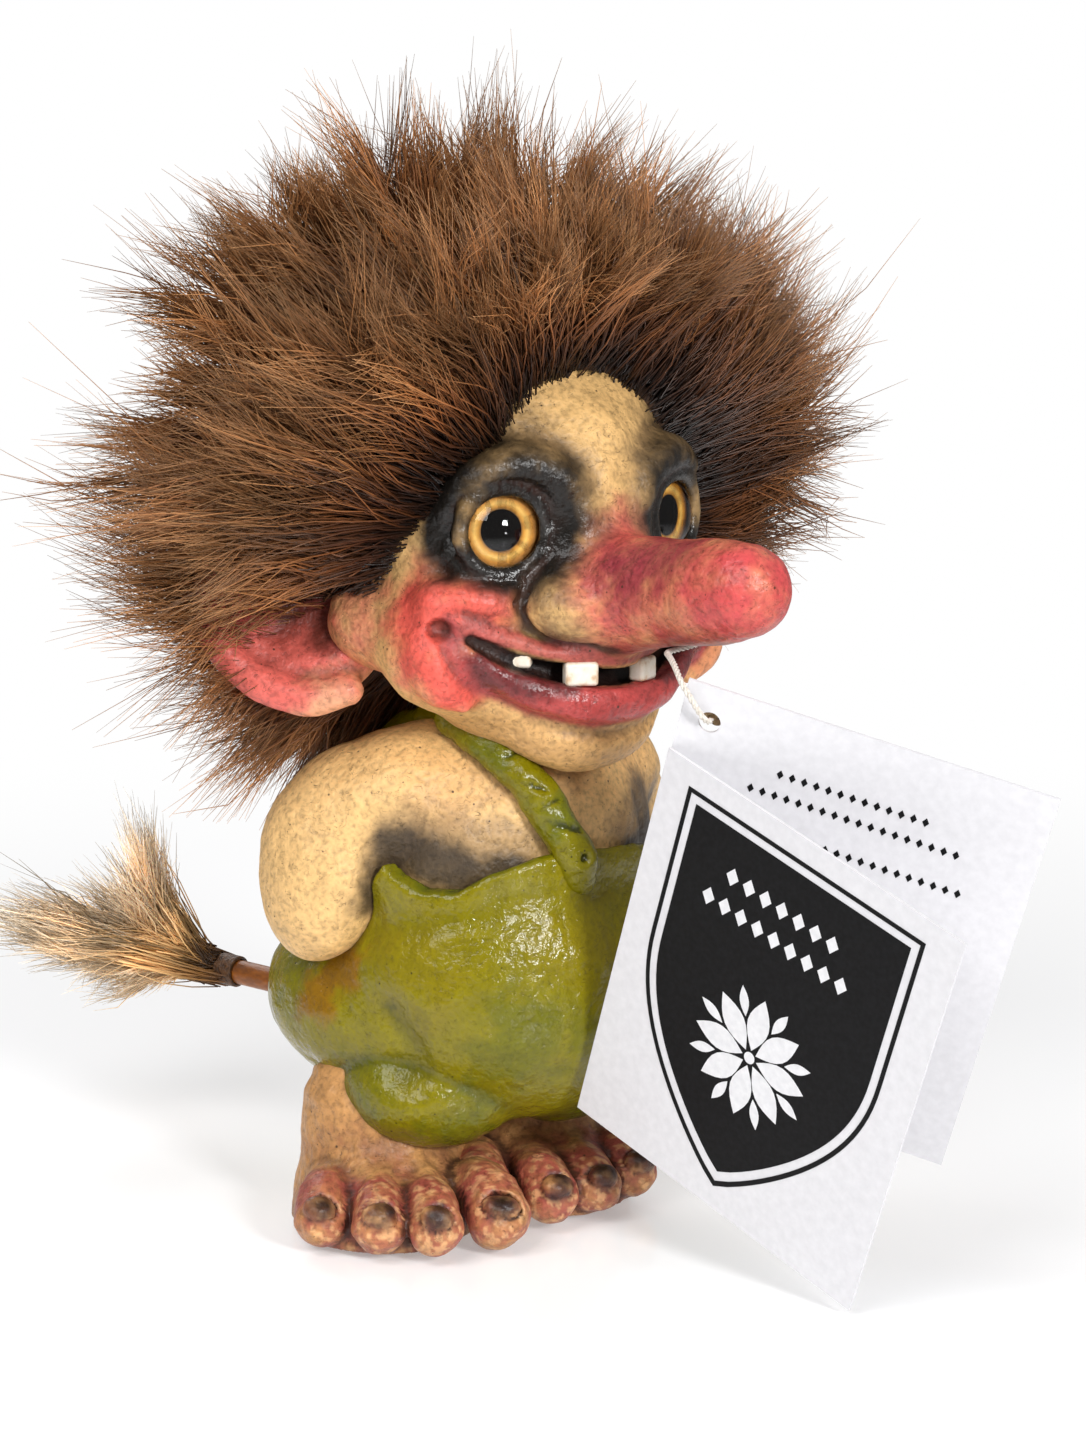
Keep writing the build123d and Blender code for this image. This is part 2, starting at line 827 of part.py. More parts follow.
tuft_root = tail_seat + tail_direction * thong_length
tuft_direction = Vector(-sin(radians(tuft_turn)), cos(radians(tuft_turn)), 0)
tuft_middle = tuft_root + tuft_direction * (tuft_length / 2 - tuft_overlap)
with BuildPart() as tail_tuft:
    add(egg(tuft_middle, (tuft_width, tuft_length, tuft_width), 0, (0, 0, tuft_turn)))
    lock_foot = tuft_root + tuft_direction * lock_forward_share * tuft_length
    lock_middle = lock_foot + Vector(0, 0, lock_rise_share * lock_height)
    add(egg(lock_middle, (lock_width, lock_width, lock_height)))
    with BuildPart(thong_plane, mode=Mode.PRIVATE) as thong_hole:
        Cylinder(thong_radius + seat_gap, thong_length + seat_gap, align=(Align.CENTER, Align.CENTER, Align.MIN))
    add(thong_hole.part, mode=Mode.SUBTRACT)
    with BuildPart(thong_plane.offset(thong_length - tuft_overlap + seat_gap), mode=Mode.PRIVATE) as binding_room:
        Cylinder(tuft_width, tuft_length, align=(Align.CENTER, Align.CENTER, Align.MAX))
    add(binding_room.part, mode=Mode.SUBTRACT)
finish(tail_tuft, "tail_tuft")


# Tag: both leaves start beside the fold, so that the front one can open and close

fold_down = Vector(
    sin(radians(fold_lean)) * cos(radians(fold_heading)),
    sin(radians(fold_lean)) * sin(radians(fold_heading)),
    -cos(radians(fold_lean)),
)
tag_top = Vector(*tag_corner)
across_hint = Vector(cos(radians(leaf_heading)), sin(radians(leaf_heading)), 0)
rear_normal = fold_down.cross(across_hint).normalized()
rear_across = rear_normal.cross(fold_down)
front_across = rear_across.rotate(Axis((0, 0, 0), fold_down), leaf_angle)
front_normal = fold_down.cross(front_across)


def leaf_card(top, across, normal, outward):
    """A card leaf beside the fold: Y runs up the fold, and outward is its side of the fold's plane."""
    plane = Plane(top, x_dir=across, z_dir=normal)
    lift = Align.MIN if outward > 0 else Align.MAX
    with BuildPart(plane.offset(outward * fold_gap), mode=Mode.PRIVATE) as card:
        with Locations((fold_gap, 0)):
            Box(tag_width - fold_gap, tag_height, tag_card, align=(Align.MIN, Align.MAX, lift))
    return card.part


with BuildPart() as tag_back_leaf:
    add(leaf_card(tag_top, rear_across, rear_normal, -1))
    hole = tag_top + rear_across * hole_inset + fold_down * hole_drop
    with BuildPart(Plane(hole, z_dir=rear_normal), mode=Mode.PRIVATE) as punch:
        Cylinder(hole_radius, 2 * hole_radius)
    add(punch.part, mode=Mode.SUBTRACT)
finish(tag_back_leaf, "tag_back_leaf")

with BuildPart() as tag_front_leaf:
    add(leaf_card(tag_top + fold_down * tag_step, front_across, front_normal, 1))
finish(tag_front_leaf, "tag_front_leaf")


# String: out of the fur behind the left ear, past the cheek, round the fold and through the hole

def by_hole(across, down, out):
    """A point given from the hole: across and down the rear leaf, and out of its printed side."""
    return hole + rear_across * across + fold_down * down + rear_normal * out


knot_middle = by_hole(0, 0, -(tag_card + fold_gap + run_gap + knot_radius))
route = [Vector(*point) for point in string_route]
route += [by_hole(*offsets) for offsets in hole_route]
route += [knot_middle + rear_normal * knot_radius]


def arc_radii(points):
    """The largest arc at each corner that leaves a tenth of its shorter run straight."""
    radii = []
    for before, corner, after in zip(points, points[1:], points[2:]):
        run_in = corner - before
        run_out = after - corner
        half_turn = radians(run_in.get_angle(run_out)) / 2
        shorter = min(run_in.length, run_out.length)
        radii.append(arc_run_share * shorter / tan(half_turn))
    return radii


radii = arc_radii(route)
print("string arc radii", [round(radius, 1) for radius in radii])
print("string runs", [round((b - a).length, 1) for a, b in zip(route, route[1:])])
with BuildPart() as tag_string:
    with BuildLine() as path:
        FilletPolyline(*route, radius=radii)
    with BuildSketch(Plane(path.line @ 0, z_dir=path.line % 0)):
        Circle(string_radius)
    sweep(path=path.line)
    add(beyond(hair_plane.offset(seat_gap / 2)), mode=Mode.SUBTRACT)
print("string length", round(tag_string.part.volume / (pi * string_radius**2), 1))
finish(tag_string, "tag_string")

with BuildPart() as string_knot:
    with Locations(knot_middle):
        Sphere(knot_radius)
finish(string_knot, "string_knot")
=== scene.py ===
"""A cast and painted souvenir troll with glass eyes, a fur wig, a thong tail and a hanging card tag.

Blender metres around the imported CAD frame. The sizes in each section are millimetres.
"""

import math

import bmesh
import bpy
import numpy as np
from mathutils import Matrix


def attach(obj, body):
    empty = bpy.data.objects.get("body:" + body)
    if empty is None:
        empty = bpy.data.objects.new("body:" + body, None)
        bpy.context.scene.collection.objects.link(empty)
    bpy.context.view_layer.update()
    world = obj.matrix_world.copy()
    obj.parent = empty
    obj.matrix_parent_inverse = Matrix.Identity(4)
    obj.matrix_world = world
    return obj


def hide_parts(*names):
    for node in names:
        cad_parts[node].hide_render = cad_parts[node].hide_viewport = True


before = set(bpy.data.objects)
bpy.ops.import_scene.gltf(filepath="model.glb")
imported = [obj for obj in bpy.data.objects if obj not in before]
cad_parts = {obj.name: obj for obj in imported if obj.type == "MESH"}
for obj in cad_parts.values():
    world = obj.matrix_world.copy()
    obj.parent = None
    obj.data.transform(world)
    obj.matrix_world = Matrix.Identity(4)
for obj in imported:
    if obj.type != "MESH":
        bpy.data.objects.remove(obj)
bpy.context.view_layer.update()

import openvdb
from mathutils import Euler, Matrix, Vector

MM = 0.001

# Camera, lamps and the white table. The lens and place are the photograph's.
# The table is a white sheet that runs into the white wall without an edge.
CAMERA_PLACE = (-270.2, -357.0, 142.6)
CAMERA_AZIMUTH, CAMERA_ELEVATION = -38.0, 10.0
SENSOR, LENS = 36.0, 87.02
scene = bpy.context.scene
scene.view_settings.view_transform = "Standard"

camera_data = bpy.data.cameras.new("camera")
camera_data.sensor_width = SENSOR
camera_data.lens = LENS
camera_data.clip_start = 0.02
camera = bpy.data.objects.new("camera", camera_data)
scene.collection.objects.link(camera)
camera.location = Vector(CAMERA_PLACE) * MM
camera.rotation_euler = (math.radians(90 - CAMERA_ELEVATION), 0, math.radians(CAMERA_AZIMUTH))
scene.camera = camera

# Each lamp: its place, its watts and its width; all point at the troll's chest
CHEST = Vector((0, 0, 70))
LAMPS = {
    "key": ((-90, -570, 255), 2.7, 115),
    "window": ((-520, -200, 520), 3.0, 420),
    "back": ((120, 560, 520), 2.4, 500),
}
for lamp_name, (place, watts, width) in LAMPS.items():
    lamp_data = bpy.data.lights.new(lamp_name, "AREA")
    lamp_data.energy = watts
    lamp_data.size = width * MM
    lamp = bpy.data.objects.new(lamp_name, lamp_data)
    scene.collection.objects.link(lamp)
    lamp.location = Vector(place) * MM
    lamp.rotation_euler = (CHEST * MM - lamp.location).to_track_quat("-Z", "Y").to_euler()

WORLD_LIGHT = 0.28
world = bpy.data.worlds.new("studio")
scene.world = world
world.use_nodes = True
sky = world.node_tree
seen = sky.nodes.new("ShaderNodeLightPath")
shown = sky.nodes.new("ShaderNodeMath")
shown.operation = "MAXIMUM"
sky.links.new(seen.outputs["Is Camera Ray"], shown.inputs[0])
sky.links.new(seen.outputs["Is Transmission Ray"], shown.inputs[1])
level = sky.nodes.new("ShaderNodeMapRange")
level.inputs["To Min"].default_value = WORLD_LIGHT
level.inputs["To Max"].default_value = 1.0
sky.links.new(shown.outputs[0], level.inputs["Value"])
sky.links.new(level.outputs["Result"], sky.nodes["Background"].inputs["Strength"])
sky.nodes["Background"].inputs["Color"].default_value = (1, 1, 1, 1)


def new_material(name, roughness=0.5):
    """A material with its tree and its Principled shader."""
    material = bpy.data.materials.new(name)
    material.use_nodes = True
    shader = material.node_tree.nodes["Principled BSDF"]
    shader.inputs["Roughness"].default_value = roughness
    return material, material.node_tree, shader


def add_piece(name, vertices, faces, material, edges=()):
    """A new object at the origin, from vertices in mm."""
    mesh = bpy.data.meshes.new(name)
    places = (np.asarray(vertices, float) * MM).tolist()
    mesh.from_pydata(places, [tuple(edge) for edge in edges], [tuple(face) for face in faces])
    if material:
        mesh.materials.append(material)
    piece = bpy.data.objects.new(name, mesh)
    scene.collection.objects.link(piece)
    return piece


# The table's radius, how far it lies below the soles, and where it fades into the wall
TABLE_RADIUS, TABLE_DROP = 3000, 0.8
FADE_START, FADE_END = 110, 340
TABLE_GLOW = 0.30
table_white, tree, shader = new_material("table_white", 0.12)
shader.inputs["Base Color"].default_value = (0.86, 0.86, 0.87, 1)
shader.inputs["Emission Color"].default_value = (1, 1, 1, 1)
shader.inputs["Emission Strength"].default_value = TABLE_GLOW
# Away from the troll the sheet shines as bright as the wall behind it
place = tree.nodes.new("ShaderNodeTexCoord")
away = tree.nodes.new("ShaderNodeVectorMath")
away.operation = "LENGTH"
tree.links.new(place.outputs["Object"], away.inputs[0])
fade = tree.nodes.new("ShaderNodeMapRange")
fade.interpolation_type = "SMOOTHSTEP"
fade.inputs["From Min"].default_value = FADE_START * MM
fade.inputs["From Max"].default_value = FADE_END * MM
tree.links.new(away.outputs["Value"], fade.inputs["Value"])
wall = tree.nodes.new("ShaderNodeEmission")
seen = tree.nodes.new("ShaderNodeLightPath")
wall_level = tree.nodes.new("ShaderNodeMapRange")
wall_level.inputs["To Min"].default_value = WORLD_LIGHT
tree.links.new(seen.outputs["Is Camera Ray"], wall_level.inputs["Value"])
tree.links.new(wall_level.outputs["Result"], wall.inputs["Strength"])
blend = tree.nodes.new("ShaderNodeMixShader")
tree.links.new(fade.outputs["Result"], blend.inputs[0])
tree.links.new(shader.outputs[0], blend.inputs[1])
tree.links.new(wall.outputs[0], blend.inputs[2])
tree.links.new(blend.outputs[0], tree.nodes["Material Output"].inputs["Surface"])
TABLE_CORNERS = 64
turns = np.linspace(0, 2 * math.pi, TABLE_CORNERS, endpoint=False)
rim_points = np.stack([TABLE_RADIUS * np.cos(turns), TABLE_RADIUS * np.sin(turns), 0 * turns - TABLE_DROP], 1)
table = add_piece("table", rim_points, [range(TABLE_CORNERS)], table_white)


# Tag: one card folded down its middle, both leaves printed. It is satin white
# board with black print, and its fold leans, so that one corner stands on the
# table. The CAD leaves are the card; the print is thin ink that lies on them.
TAG_CORNER = Vector((-7.1, -47.8, 76.45))
TAG_STEP = 9.5
TAG_CARD, FOLD_GAP = 0.35, 0.15
FOLD_LEAN, FOLD_HEADING = math.radians(24.5), math.radians(79.6)
LEAF_HEADING, LEAF_ANGLE = math.radians(-55.5), math.radians(26.4)
HOLE_INSET, HOLE_DROP = 3.8, 4.8
fold_down = Vector((
    math.sin(FOLD_LEAN) * math.cos(FOLD_HEADING),
    math.sin(FOLD_LEAN) * math.sin(FOLD_HEADING),
    -math.cos(FOLD_LEAN),
))
rear_normal = fold_down.cross(Vector((math.cos(LEAF_HEADING), math.sin(LEAF_HEADING), 0))).normalized()
rear_across = rear_normal.cross(fold_down)
front_across = Matrix.Rotation(LEAF_ANGLE, 3, fold_down) @ rear_across
front_normal = fold_down.cross(front_across)
tag_hole = TAG_CORNER + rear_across * HOLE_INSET + fold_down * HOLE_DROP


def ink(code):
    """A colour written as on screen, as the linear values that shaders and attributes take."""
    share = np.array([int(code[place:place + 2], 16) / 255 for place in (1, 3, 5)])
    return np.where(share < 0.04045, share / 12.92, ((share + 0.055) / 1.055) ** 2.4)


def add_noise(tree, scale, detail=3.0, stretch=(1, 1, 1), distortion=0.0):
    """Noise over Object coordinates; scale is lumps per metre."""
    place = tree.nodes.new("ShaderNodeTexCoord")
    mapping = tree.nodes.new("ShaderNodeMapping")
    mapping.inputs["Scale"].default_value = stretch
    noise = tree.nodes.new("ShaderNodeTexNoise")
    noise.inputs["Scale"].default_value = scale
    noise.inputs["Detail"].default_value = detail
    noise.inputs["Distortion"].default_value = distortion
    tree.links.new(place.outputs["Object"], mapping.inputs["Vector"])
    tree.links.new(mapping.outputs["Vector"], noise.inputs["Vector"])
    return noise.outputs["Fac"]


def add_ramp(tree, value, stops):
    """A colour ramp over a value; stops are places with linear colours or grey levels."""
    ramp = tree.nodes.new("ShaderNodeValToRGB")
    points = ramp.color_ramp.elements
    while len(points) < len(stops):
        points.new(0.5)
    for point, (place, colour) in zip(points, stops):
        point.position = place
        colour = (colour,) * 3 if np.isscalar(colour) else tuple(colour)
        point.color = (*colour[:3], 1)
    tree.links.new(value, ramp.inputs["Fac"])
    return ramp.outputs["Color"]


def add_bump(tree, shader, heights):
    """Bumps on the shader, each a height socket with its depth in mm."""
    normal = None
    for height, depth in heights:
        bump = tree.nodes.new("ShaderNodeBump")
        bump.inputs["Strength"].default_value = 1.0
        bump.inputs["Distance"].default_value = depth * MM
        tree.links.new(height, bump.inputs["Height"])
        if normal:
            tree.links.new(normal, bump.inputs["Normal"])
        normal = bump.outputs["Normal"]
    tree.links.new(normal, shader.inputs["Normal"])


def mix_colours(tree, factor, first, second, blend="MIX"):
    """Two colours mixed; each is a socket or a linear colour, the factor a socket or a number."""
    mix = tree.nodes.new("ShaderNodeMix")
    mix.data_type = "RGBA"
    mix.blend_type = blend
    for socket, value in ((mix.inputs[0], factor), (mix.inputs[6], first), (mix.inputs[7], second)):
        if isinstance(value, bpy.types.NodeSocket):
            tree.links.new(value, socket)
        elif socket == mix.inputs[0]:
            socket.default_value = value
        else:
            socket.default_value = (*value[:3], 1)
    return mix.outputs[2]


def mottled_material(name, roughness, scale, stops, detail=3.0, stretch=(1, 1, 1), bump=0.0):
    """A finish whose colour runs through stops over fine noise; bump is the depth in mm of its relief."""
    material, tree, shader = new_material(name, roughness)
    noise = add_noise(tree, scale, detail, stretch)
    colour = add_ramp(tree, noise, [(place, ink(code)) for place, code in stops])
    tree.links.new(colour, shader.inputs["Base Color"])
    if bump:
        add_bump(tree, shader, [(noise, bump)])
    return material, tree, shader


def set_material(material, *nodes):
    """Gives CAD nodes a material of their own."""
    for node in nodes:
        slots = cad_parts[node].data.materials
        slots.clear()
        slots.append(material)


CARD_COLOURS, BLACK_INK = [(0.3, "#d6d5d8"), (0.7, "#dfdee1")], [(0.35, "#0a0a0b"), (0.75, "#141416")]
card_white = mottled_material("card_white", 0.42, 900, CARD_COLOURS, 5.0, bump=0.012)[0]
set_material(card_white, "tag_back_leaf", "tag_front_leaf")
print_black, tree, shader = mottled_material("print_black", 0.55, 1500, BLACK_INK)
shader.inputs["Specular IOR Level"].default_value = 0.15
print_white = mottled_material("print_white", 0.4, 1200, [(0.3, "#dadadd"), (0.7, "#e6e6e8")])[0]

# The ink's thickness, and its height above the bare card and above other ink
INK_THICK = 0.03
ON_CARD, ON_PANEL = 0.02, 0.05


def square_up(piece):
    """Merges doubles and turns all faces outwards."""
    shell = bmesh.new()
    shell.from_mesh(piece.data)
    bmesh.ops.remove_doubles(shell, verts=shell.verts, dist=1e-7)
    bmesh.ops.recalc_face_normals(shell, faces=shell.faces)
    shell.to_mesh(piece.data)
    shell.free()


def lay_print(name, leaf, outlines, material, lift, body):
    """Ink on a leaf: flat outlines across and down from the fold's top, raised a hair above the card."""
    top, across, normal = leaf
    vertices, faces = [], []
    for outline in outlines:
        count, first = len(outline), len(vertices)
        for height in (lift, lift + INK_THICK):
            out = normal * (FOLD_GAP + TAG_CARD + height)
            vertices += [top + across * u + fold_down * v + out for u, v in outline]
        low = list(range(first, first + count))
        high = list(range(first + count, first + 2 * count))
        faces.append(low[::-1])
        faces.append(high)
        for here in range(count):
            after = (here + 1) % count
            faces.append((low[here], low[after], high[after], high[here]))
    piece = add_piece(name, vertices, faces, material)
    square_up(piece)
    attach(piece, body)


def oval(middle, half_width, half_height, count):
    """Points of an oval, or of a diamond where there are four."""
    turns = np.linspace(0, 2 * math.pi, count, endpoint=False)
    return [(middle[0] + half_width * math.cos(a), middle[1] + half_height * math.sin(a)) for a in turns]


def band(outer, inner):
    """A closed band between two outlines of as many points, as four-sided tiles."""
    count = len(outer)
    return [(outer[i], outer[(i + 1) % count], inner[(i + 1) % count], inner[i]) for i in range(count)]


def petal(middle, turn, start, end, width):
    """One pointed petal that points away from the middle."""
    points = []
    for share in np.linspace(0, 1, 9):
        points.append((start + (end - start) * share, width / 2 * math.sin(math.pi * share)))
    points += [(x, -y) for x, y in points[-2:0:-1]]
    c, s = math.cos(turn), math.sin(turn)
    return [(middle[0] + x * c - y * s, middle[1] + x * s + y * c) for x, y in points]


front_leaf = (TAG_CORNER + fold_down * TAG_STEP, front_across, front_normal)
PANEL_MIDDLE = (22.6, 26.8)


def badge(margin):
    """A badge with a flat top and sides that curve to a point, across and down the leaf."""
    half, top, waist, foot = 16.6 + margin, 4.6 - margin, 24.0, 49.6 + 1.4 * margin
    points = [(PANEL_MIDDLE[0] + half * share, top) for share in np.linspace(-1, 1, 13)[:-1]]
    flank = [(half, top + (waist - top) * share) for share in np.linspace(0, 1, 8)[:-1]]
    for share in np.linspace(0, 1, 22)[:-1]:
        flank.append((half * math.cos(share * math.pi / 2) ** 0.85, waist + (foot - waist) * share**0.92))
    points += [(PANEL_MIDDLE[0] + u, v) for u, v in flank]
    points += [(PANEL_MIDDLE[0], foot)]
    points += [(PANEL_MIDDLE[0] - u, v) for u, v in flank[:0:-1]]
    return points


ring = band(badge(1.65), badge(1.05))
lay_print("tag_panel", front_leaf, [badge(0.0)], print_black, ON_CARD, "tag_front")
lay_print("tag_ring", front_leaf, ring, print_black, ON_CARD, "tag_front")
ROSE, PETALS = (PANEL_MIDDLE[0], PANEL_MIDDLE[1] + 5.0), 8
ornament = [petal(ROSE, k * 2 * math.pi / PETALS, 1.1, 8.6, 3.3) for k in range(PETALS)]
ornament += [petal(ROSE, (k + 0.5) * 2 * math.pi / PETALS, 5.4, 9.4, 1.4) for k in range(PETALS)]
ornament += [oval(ROSE, 0.8, 0.8, 16)]
# Rows of diamonds: how far down the leaf, how far to each side, and their spacing
DIAMOND_ROWS, DIAMOND_STEP = ((10.6, 9.0), (14.9, 11.6)), 2.6
for height, half in DIAMOND_ROWS:
    for u in np.arange(-half, half + 0.1, DIAMOND_STEP):
        ornament.append(oval((PANEL_MIDDLE[0] + u, height), 0.95, 1.25, 4))
lay_print("tag_ornament", front_leaf, ornament, print_white, ON_PANEL, "tag_front")

# The rear leaf faces the camera with the side that the front leaf opens away from
rear_leaf = (TAG_CORNER - rear_normal * (2 * FOLD_GAP + TAG_CARD), rear_across, rear_normal)
MARK_ROWS, MARK_STEP = ((8.6, 13.5, 33.0), (11.6, 10.5, 36.5), (16.6, 12.0, 38.5)), 1.5
marks = []
for height, first, last in MARK_ROWS:
    for u in np.arange(first, last, MARK_STEP):
        marks.append(oval((u, height), 0.42, 0.62, 4))
lay_print("tag_marks", rear_leaf, marks, print_black, ON_CARD, "tag_back")


# String: three-ply cotton. It comes out of the fur behind the left ear, passes
# the cheek and the mouth, turns round the fold near its upper end and goes
# through the tag's hole to a knot at the back, which keeps it from slipping out.
STRING_RADIUS = 0.38
STRING_ROUTE = [
    (26.85, -4.25, 87.8),
    (27.6, -12.2, 82.4),
    (25.0, -21.2, 80.2),
    (18.6, -28.6, 79.2),
    (10.5, -33.2, 78.4),
    (4.5, -35.7, 77.9),
]
# Across and down the rear leaf from the hole, and out of its print
HOLE_ROUTE = [
    (-8.7, -0.9, -11.2),
    (-7.5, -3.2, -6.6),
    (-5.9, -4.4, -2.5),
    (-4.45, -4.5, 0.5),
    (-2.6, -3.2, 1.4),
    (-0.9, -1.2, 1.2),
    (0.0, 0.0, 0.1),
    (0.0, 0.0, -0.8),
]


def by_hole(across, down, out):
    """A point by its distances from the tag's hole."""
    return tag_hole + rear_across * across + fold_down * down + rear_normal * out


def evaluated_mesh(piece):
    """A plain copy of what the piece's modifiers make."""
    bpy.context.view_layer.update()
    graph = bpy.context.evaluated_depsgraph_get()
    finished = piece.evaluated_get(graph)
    return bpy.data.meshes.new_from_object(finished, preserve_all_data_layers=True, depsgraph=graph)


def points_of(mesh):
    """A mesh's vertices as rows."""
    co = np.empty(len(mesh.vertices) * 3, np.float32)
    mesh.vertices.foreach_get("co", co)
    return co.reshape(-1, 3).astype(float)


route = [Vector(point) for point in STRING_ROUTE] + [by_hole(*point) for point in HOLE_ROUTE]
route_data = bpy.data.curves.new("string_route", "CURVE")
route_data.dimensions = "3D"
spline = route_data.splines.new("NURBS")
spline.points.add(len(route) - 1)
for control, point in zip(spline.points, route):
    control.co = (*(point * MM), 1)
spline.order_u = 3
spline.use_endpoint_u = True
spline.resolution_u = 24
route_line = bpy.data.objects.new("string_route", route_data)
scene.collection.objects.link(route_line)
string_path = points_of(evaluated_mesh(route_line)) / MM
bpy.data.objects.remove(route_line)


def along_path(path, step):
    """Points at even steps along a path, with a frame at each that doesn't twist."""
    runs = np.linalg.norm(np.diff(path, axis=0), axis=1)
    total = np.concatenate([[0], np.cumsum(runs)])
    stations = np.linspace(0, total[-1], max(2, int(total[-1] / step)))
    points = np.stack([np.interp(stations, total, path[:, axis]) for axis in range(3)], 1)
    tangents = np.gradient(points, axis=0)
    tangents /= np.linalg.norm(tangents, axis=1, keepdims=True)
    side = np.cross(tangents[0], (0, 0, 1.0))
    sides = []
    for tangent in tangents:
        side = side - tangent * side.dot(tangent)
        side = side / np.linalg.norm(side)
        sides.append(side)
    sides = np.array(sides)
    return stations, points, tangents, sides, np.cross(tangents, sides)


def tube(path_points, sides, ups, radius, corners, closed=False):
    """Vertices and faces of a tube round a path that has its frames given; radius may change along it."""
    count = len(path_points)
    radius = np.broadcast_to(radius, (count,))
    turns = np.arange(corners) * 2 * math.pi / corners
    rings = path_points[:, None] + radius[:, None, None] * (
        np.cos(turns)[None, :, None] * sides[:, None] + np.sin(turns)[None, :, None] * ups[:, None]
    )
    faces = []
    for here in range(count if closed else count - 1):
        after = (here + 1) % count
        for corner in range(corners):
            beside = (corner + 1) % corners
            pair = (here * corners, after * corners)
            faces.append((pair[0] + corner, pair[0] + beside, pair[1] + beside, pair[1] + corner))
    if not closed:
        faces.append(tuple(range(corners))[::-1])
        faces.append(tuple((count - 1) * corners + corner for corner in range(corners)))
    return rings.reshape(-1, 3), faces


PLIES, PLY_PITCH = 3, 2.6
COTTON_COLOURS, KNOT_COLOURS = [(0.3, "#c9c0b4"), (0.7, "#ece6dc")], [(0.3, "#8f7652"), (0.7, "#c9b088")]
cotton, tree, shader = mottled_material("string_cotton", 0.85, 2500, COTTON_COLOURS)
shader.inputs["Sheen Weight"].default_value = 0.3
add_bump(tree, shader, [(add_noise(tree, 6000, 2.0), 0.03)])

stations, spine, tangents, sides, ups = along_path(string_path, 0.3)
ply_radius = STRING_RADIUS * 0.5
vertices, faces = [], []
for ply in range(PLIES):
    twist = stations / PLY_PITCH * 2 * math.pi + ply * 2 * math.pi / PLIES
    out = np.cos(twist)[:, None] * sides + np.sin(twist)[:, None] * ups
    ring_points, ring_faces = tube(spine + out * ply_radius, sides, ups, ply_radius * 1.06, 7)
    faces += [tuple(v + len(vertices) for v in face) for face in ring_faces]
    vertices += ring_points.tolist()
string = add_piece("tag_string_plies", vertices, faces, cotton)
string.data.shade_smooth()
square_up(string)
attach(string, "figure")
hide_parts("tag_string")

# The knot: a small overhand knot drawn tight, as a trefoil of the same string
KNOT_RADIUS, KNOT_SCALE, KNOT_STRAND, KNOT_STEPS = 1.75, 0.4, 0.42, 96
knot_middle = np.array(by_hole(0, 0, -(TAG_CARD + FOLD_GAP + 0.3 + KNOT_RADIUS)))
turn = np.linspace(0, 2 * math.pi, KNOT_STEPS, endpoint=False)
knot_line = KNOT_SCALE * np.stack([
    np.sin(turn) + 2 * np.sin(2 * turn), np.cos(turn) - 2 * np.cos(2 * turn), -1.25 * np.sin(3 * turn),
], 1)
knot_line = knot_line @ np.array([rear_across, fold_down, rear_normal]) + knot_middle
knot_tangent = np.roll(knot_line, -1, 0) - np.roll(knot_line, 1, 0)
knot_tangent /= np.linalg.norm(knot_tangent, axis=1, keepdims=True)
knot_side = np.cross(knot_tangent, knot_line - knot_middle)
knot_side /= np.linalg.norm(knot_side, axis=1, keepdims=True)
vertices, faces = tube(knot_line, knot_side, np.cross(knot_tangent, knot_side), KNOT_STRAND, 8, closed=True)
knot_cotton = mottled_material("knot_cotton", 0.85, 1800, KNOT_COLOURS)[0]
knot = add_piece("tag_knot", vertices, faces, knot_cotton)
knot.data.shade_smooth()
square_up(knot)
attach(knot, "figure")
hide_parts("string_knot")


# Head: a thin latex casting, painted by airbrush and brush and varnished in
# places. It is modelled as in clay: lumps are pressed together, grooves are
# cut in, and the skin is meshed from the grid of distances to its surface.
FAR = 9.0
EVERYWHERE = (np.full(3, -900.0), np.full(3, 900.0))


def join(first, second, soft):
    """Two forms as one, with their meeting line filled over a soft width."""
    share = np.clip(0.5 + 0.5 * (second - first) / soft, 0, 1)
    return second + (first - second) * share - soft * share * (1 - share)


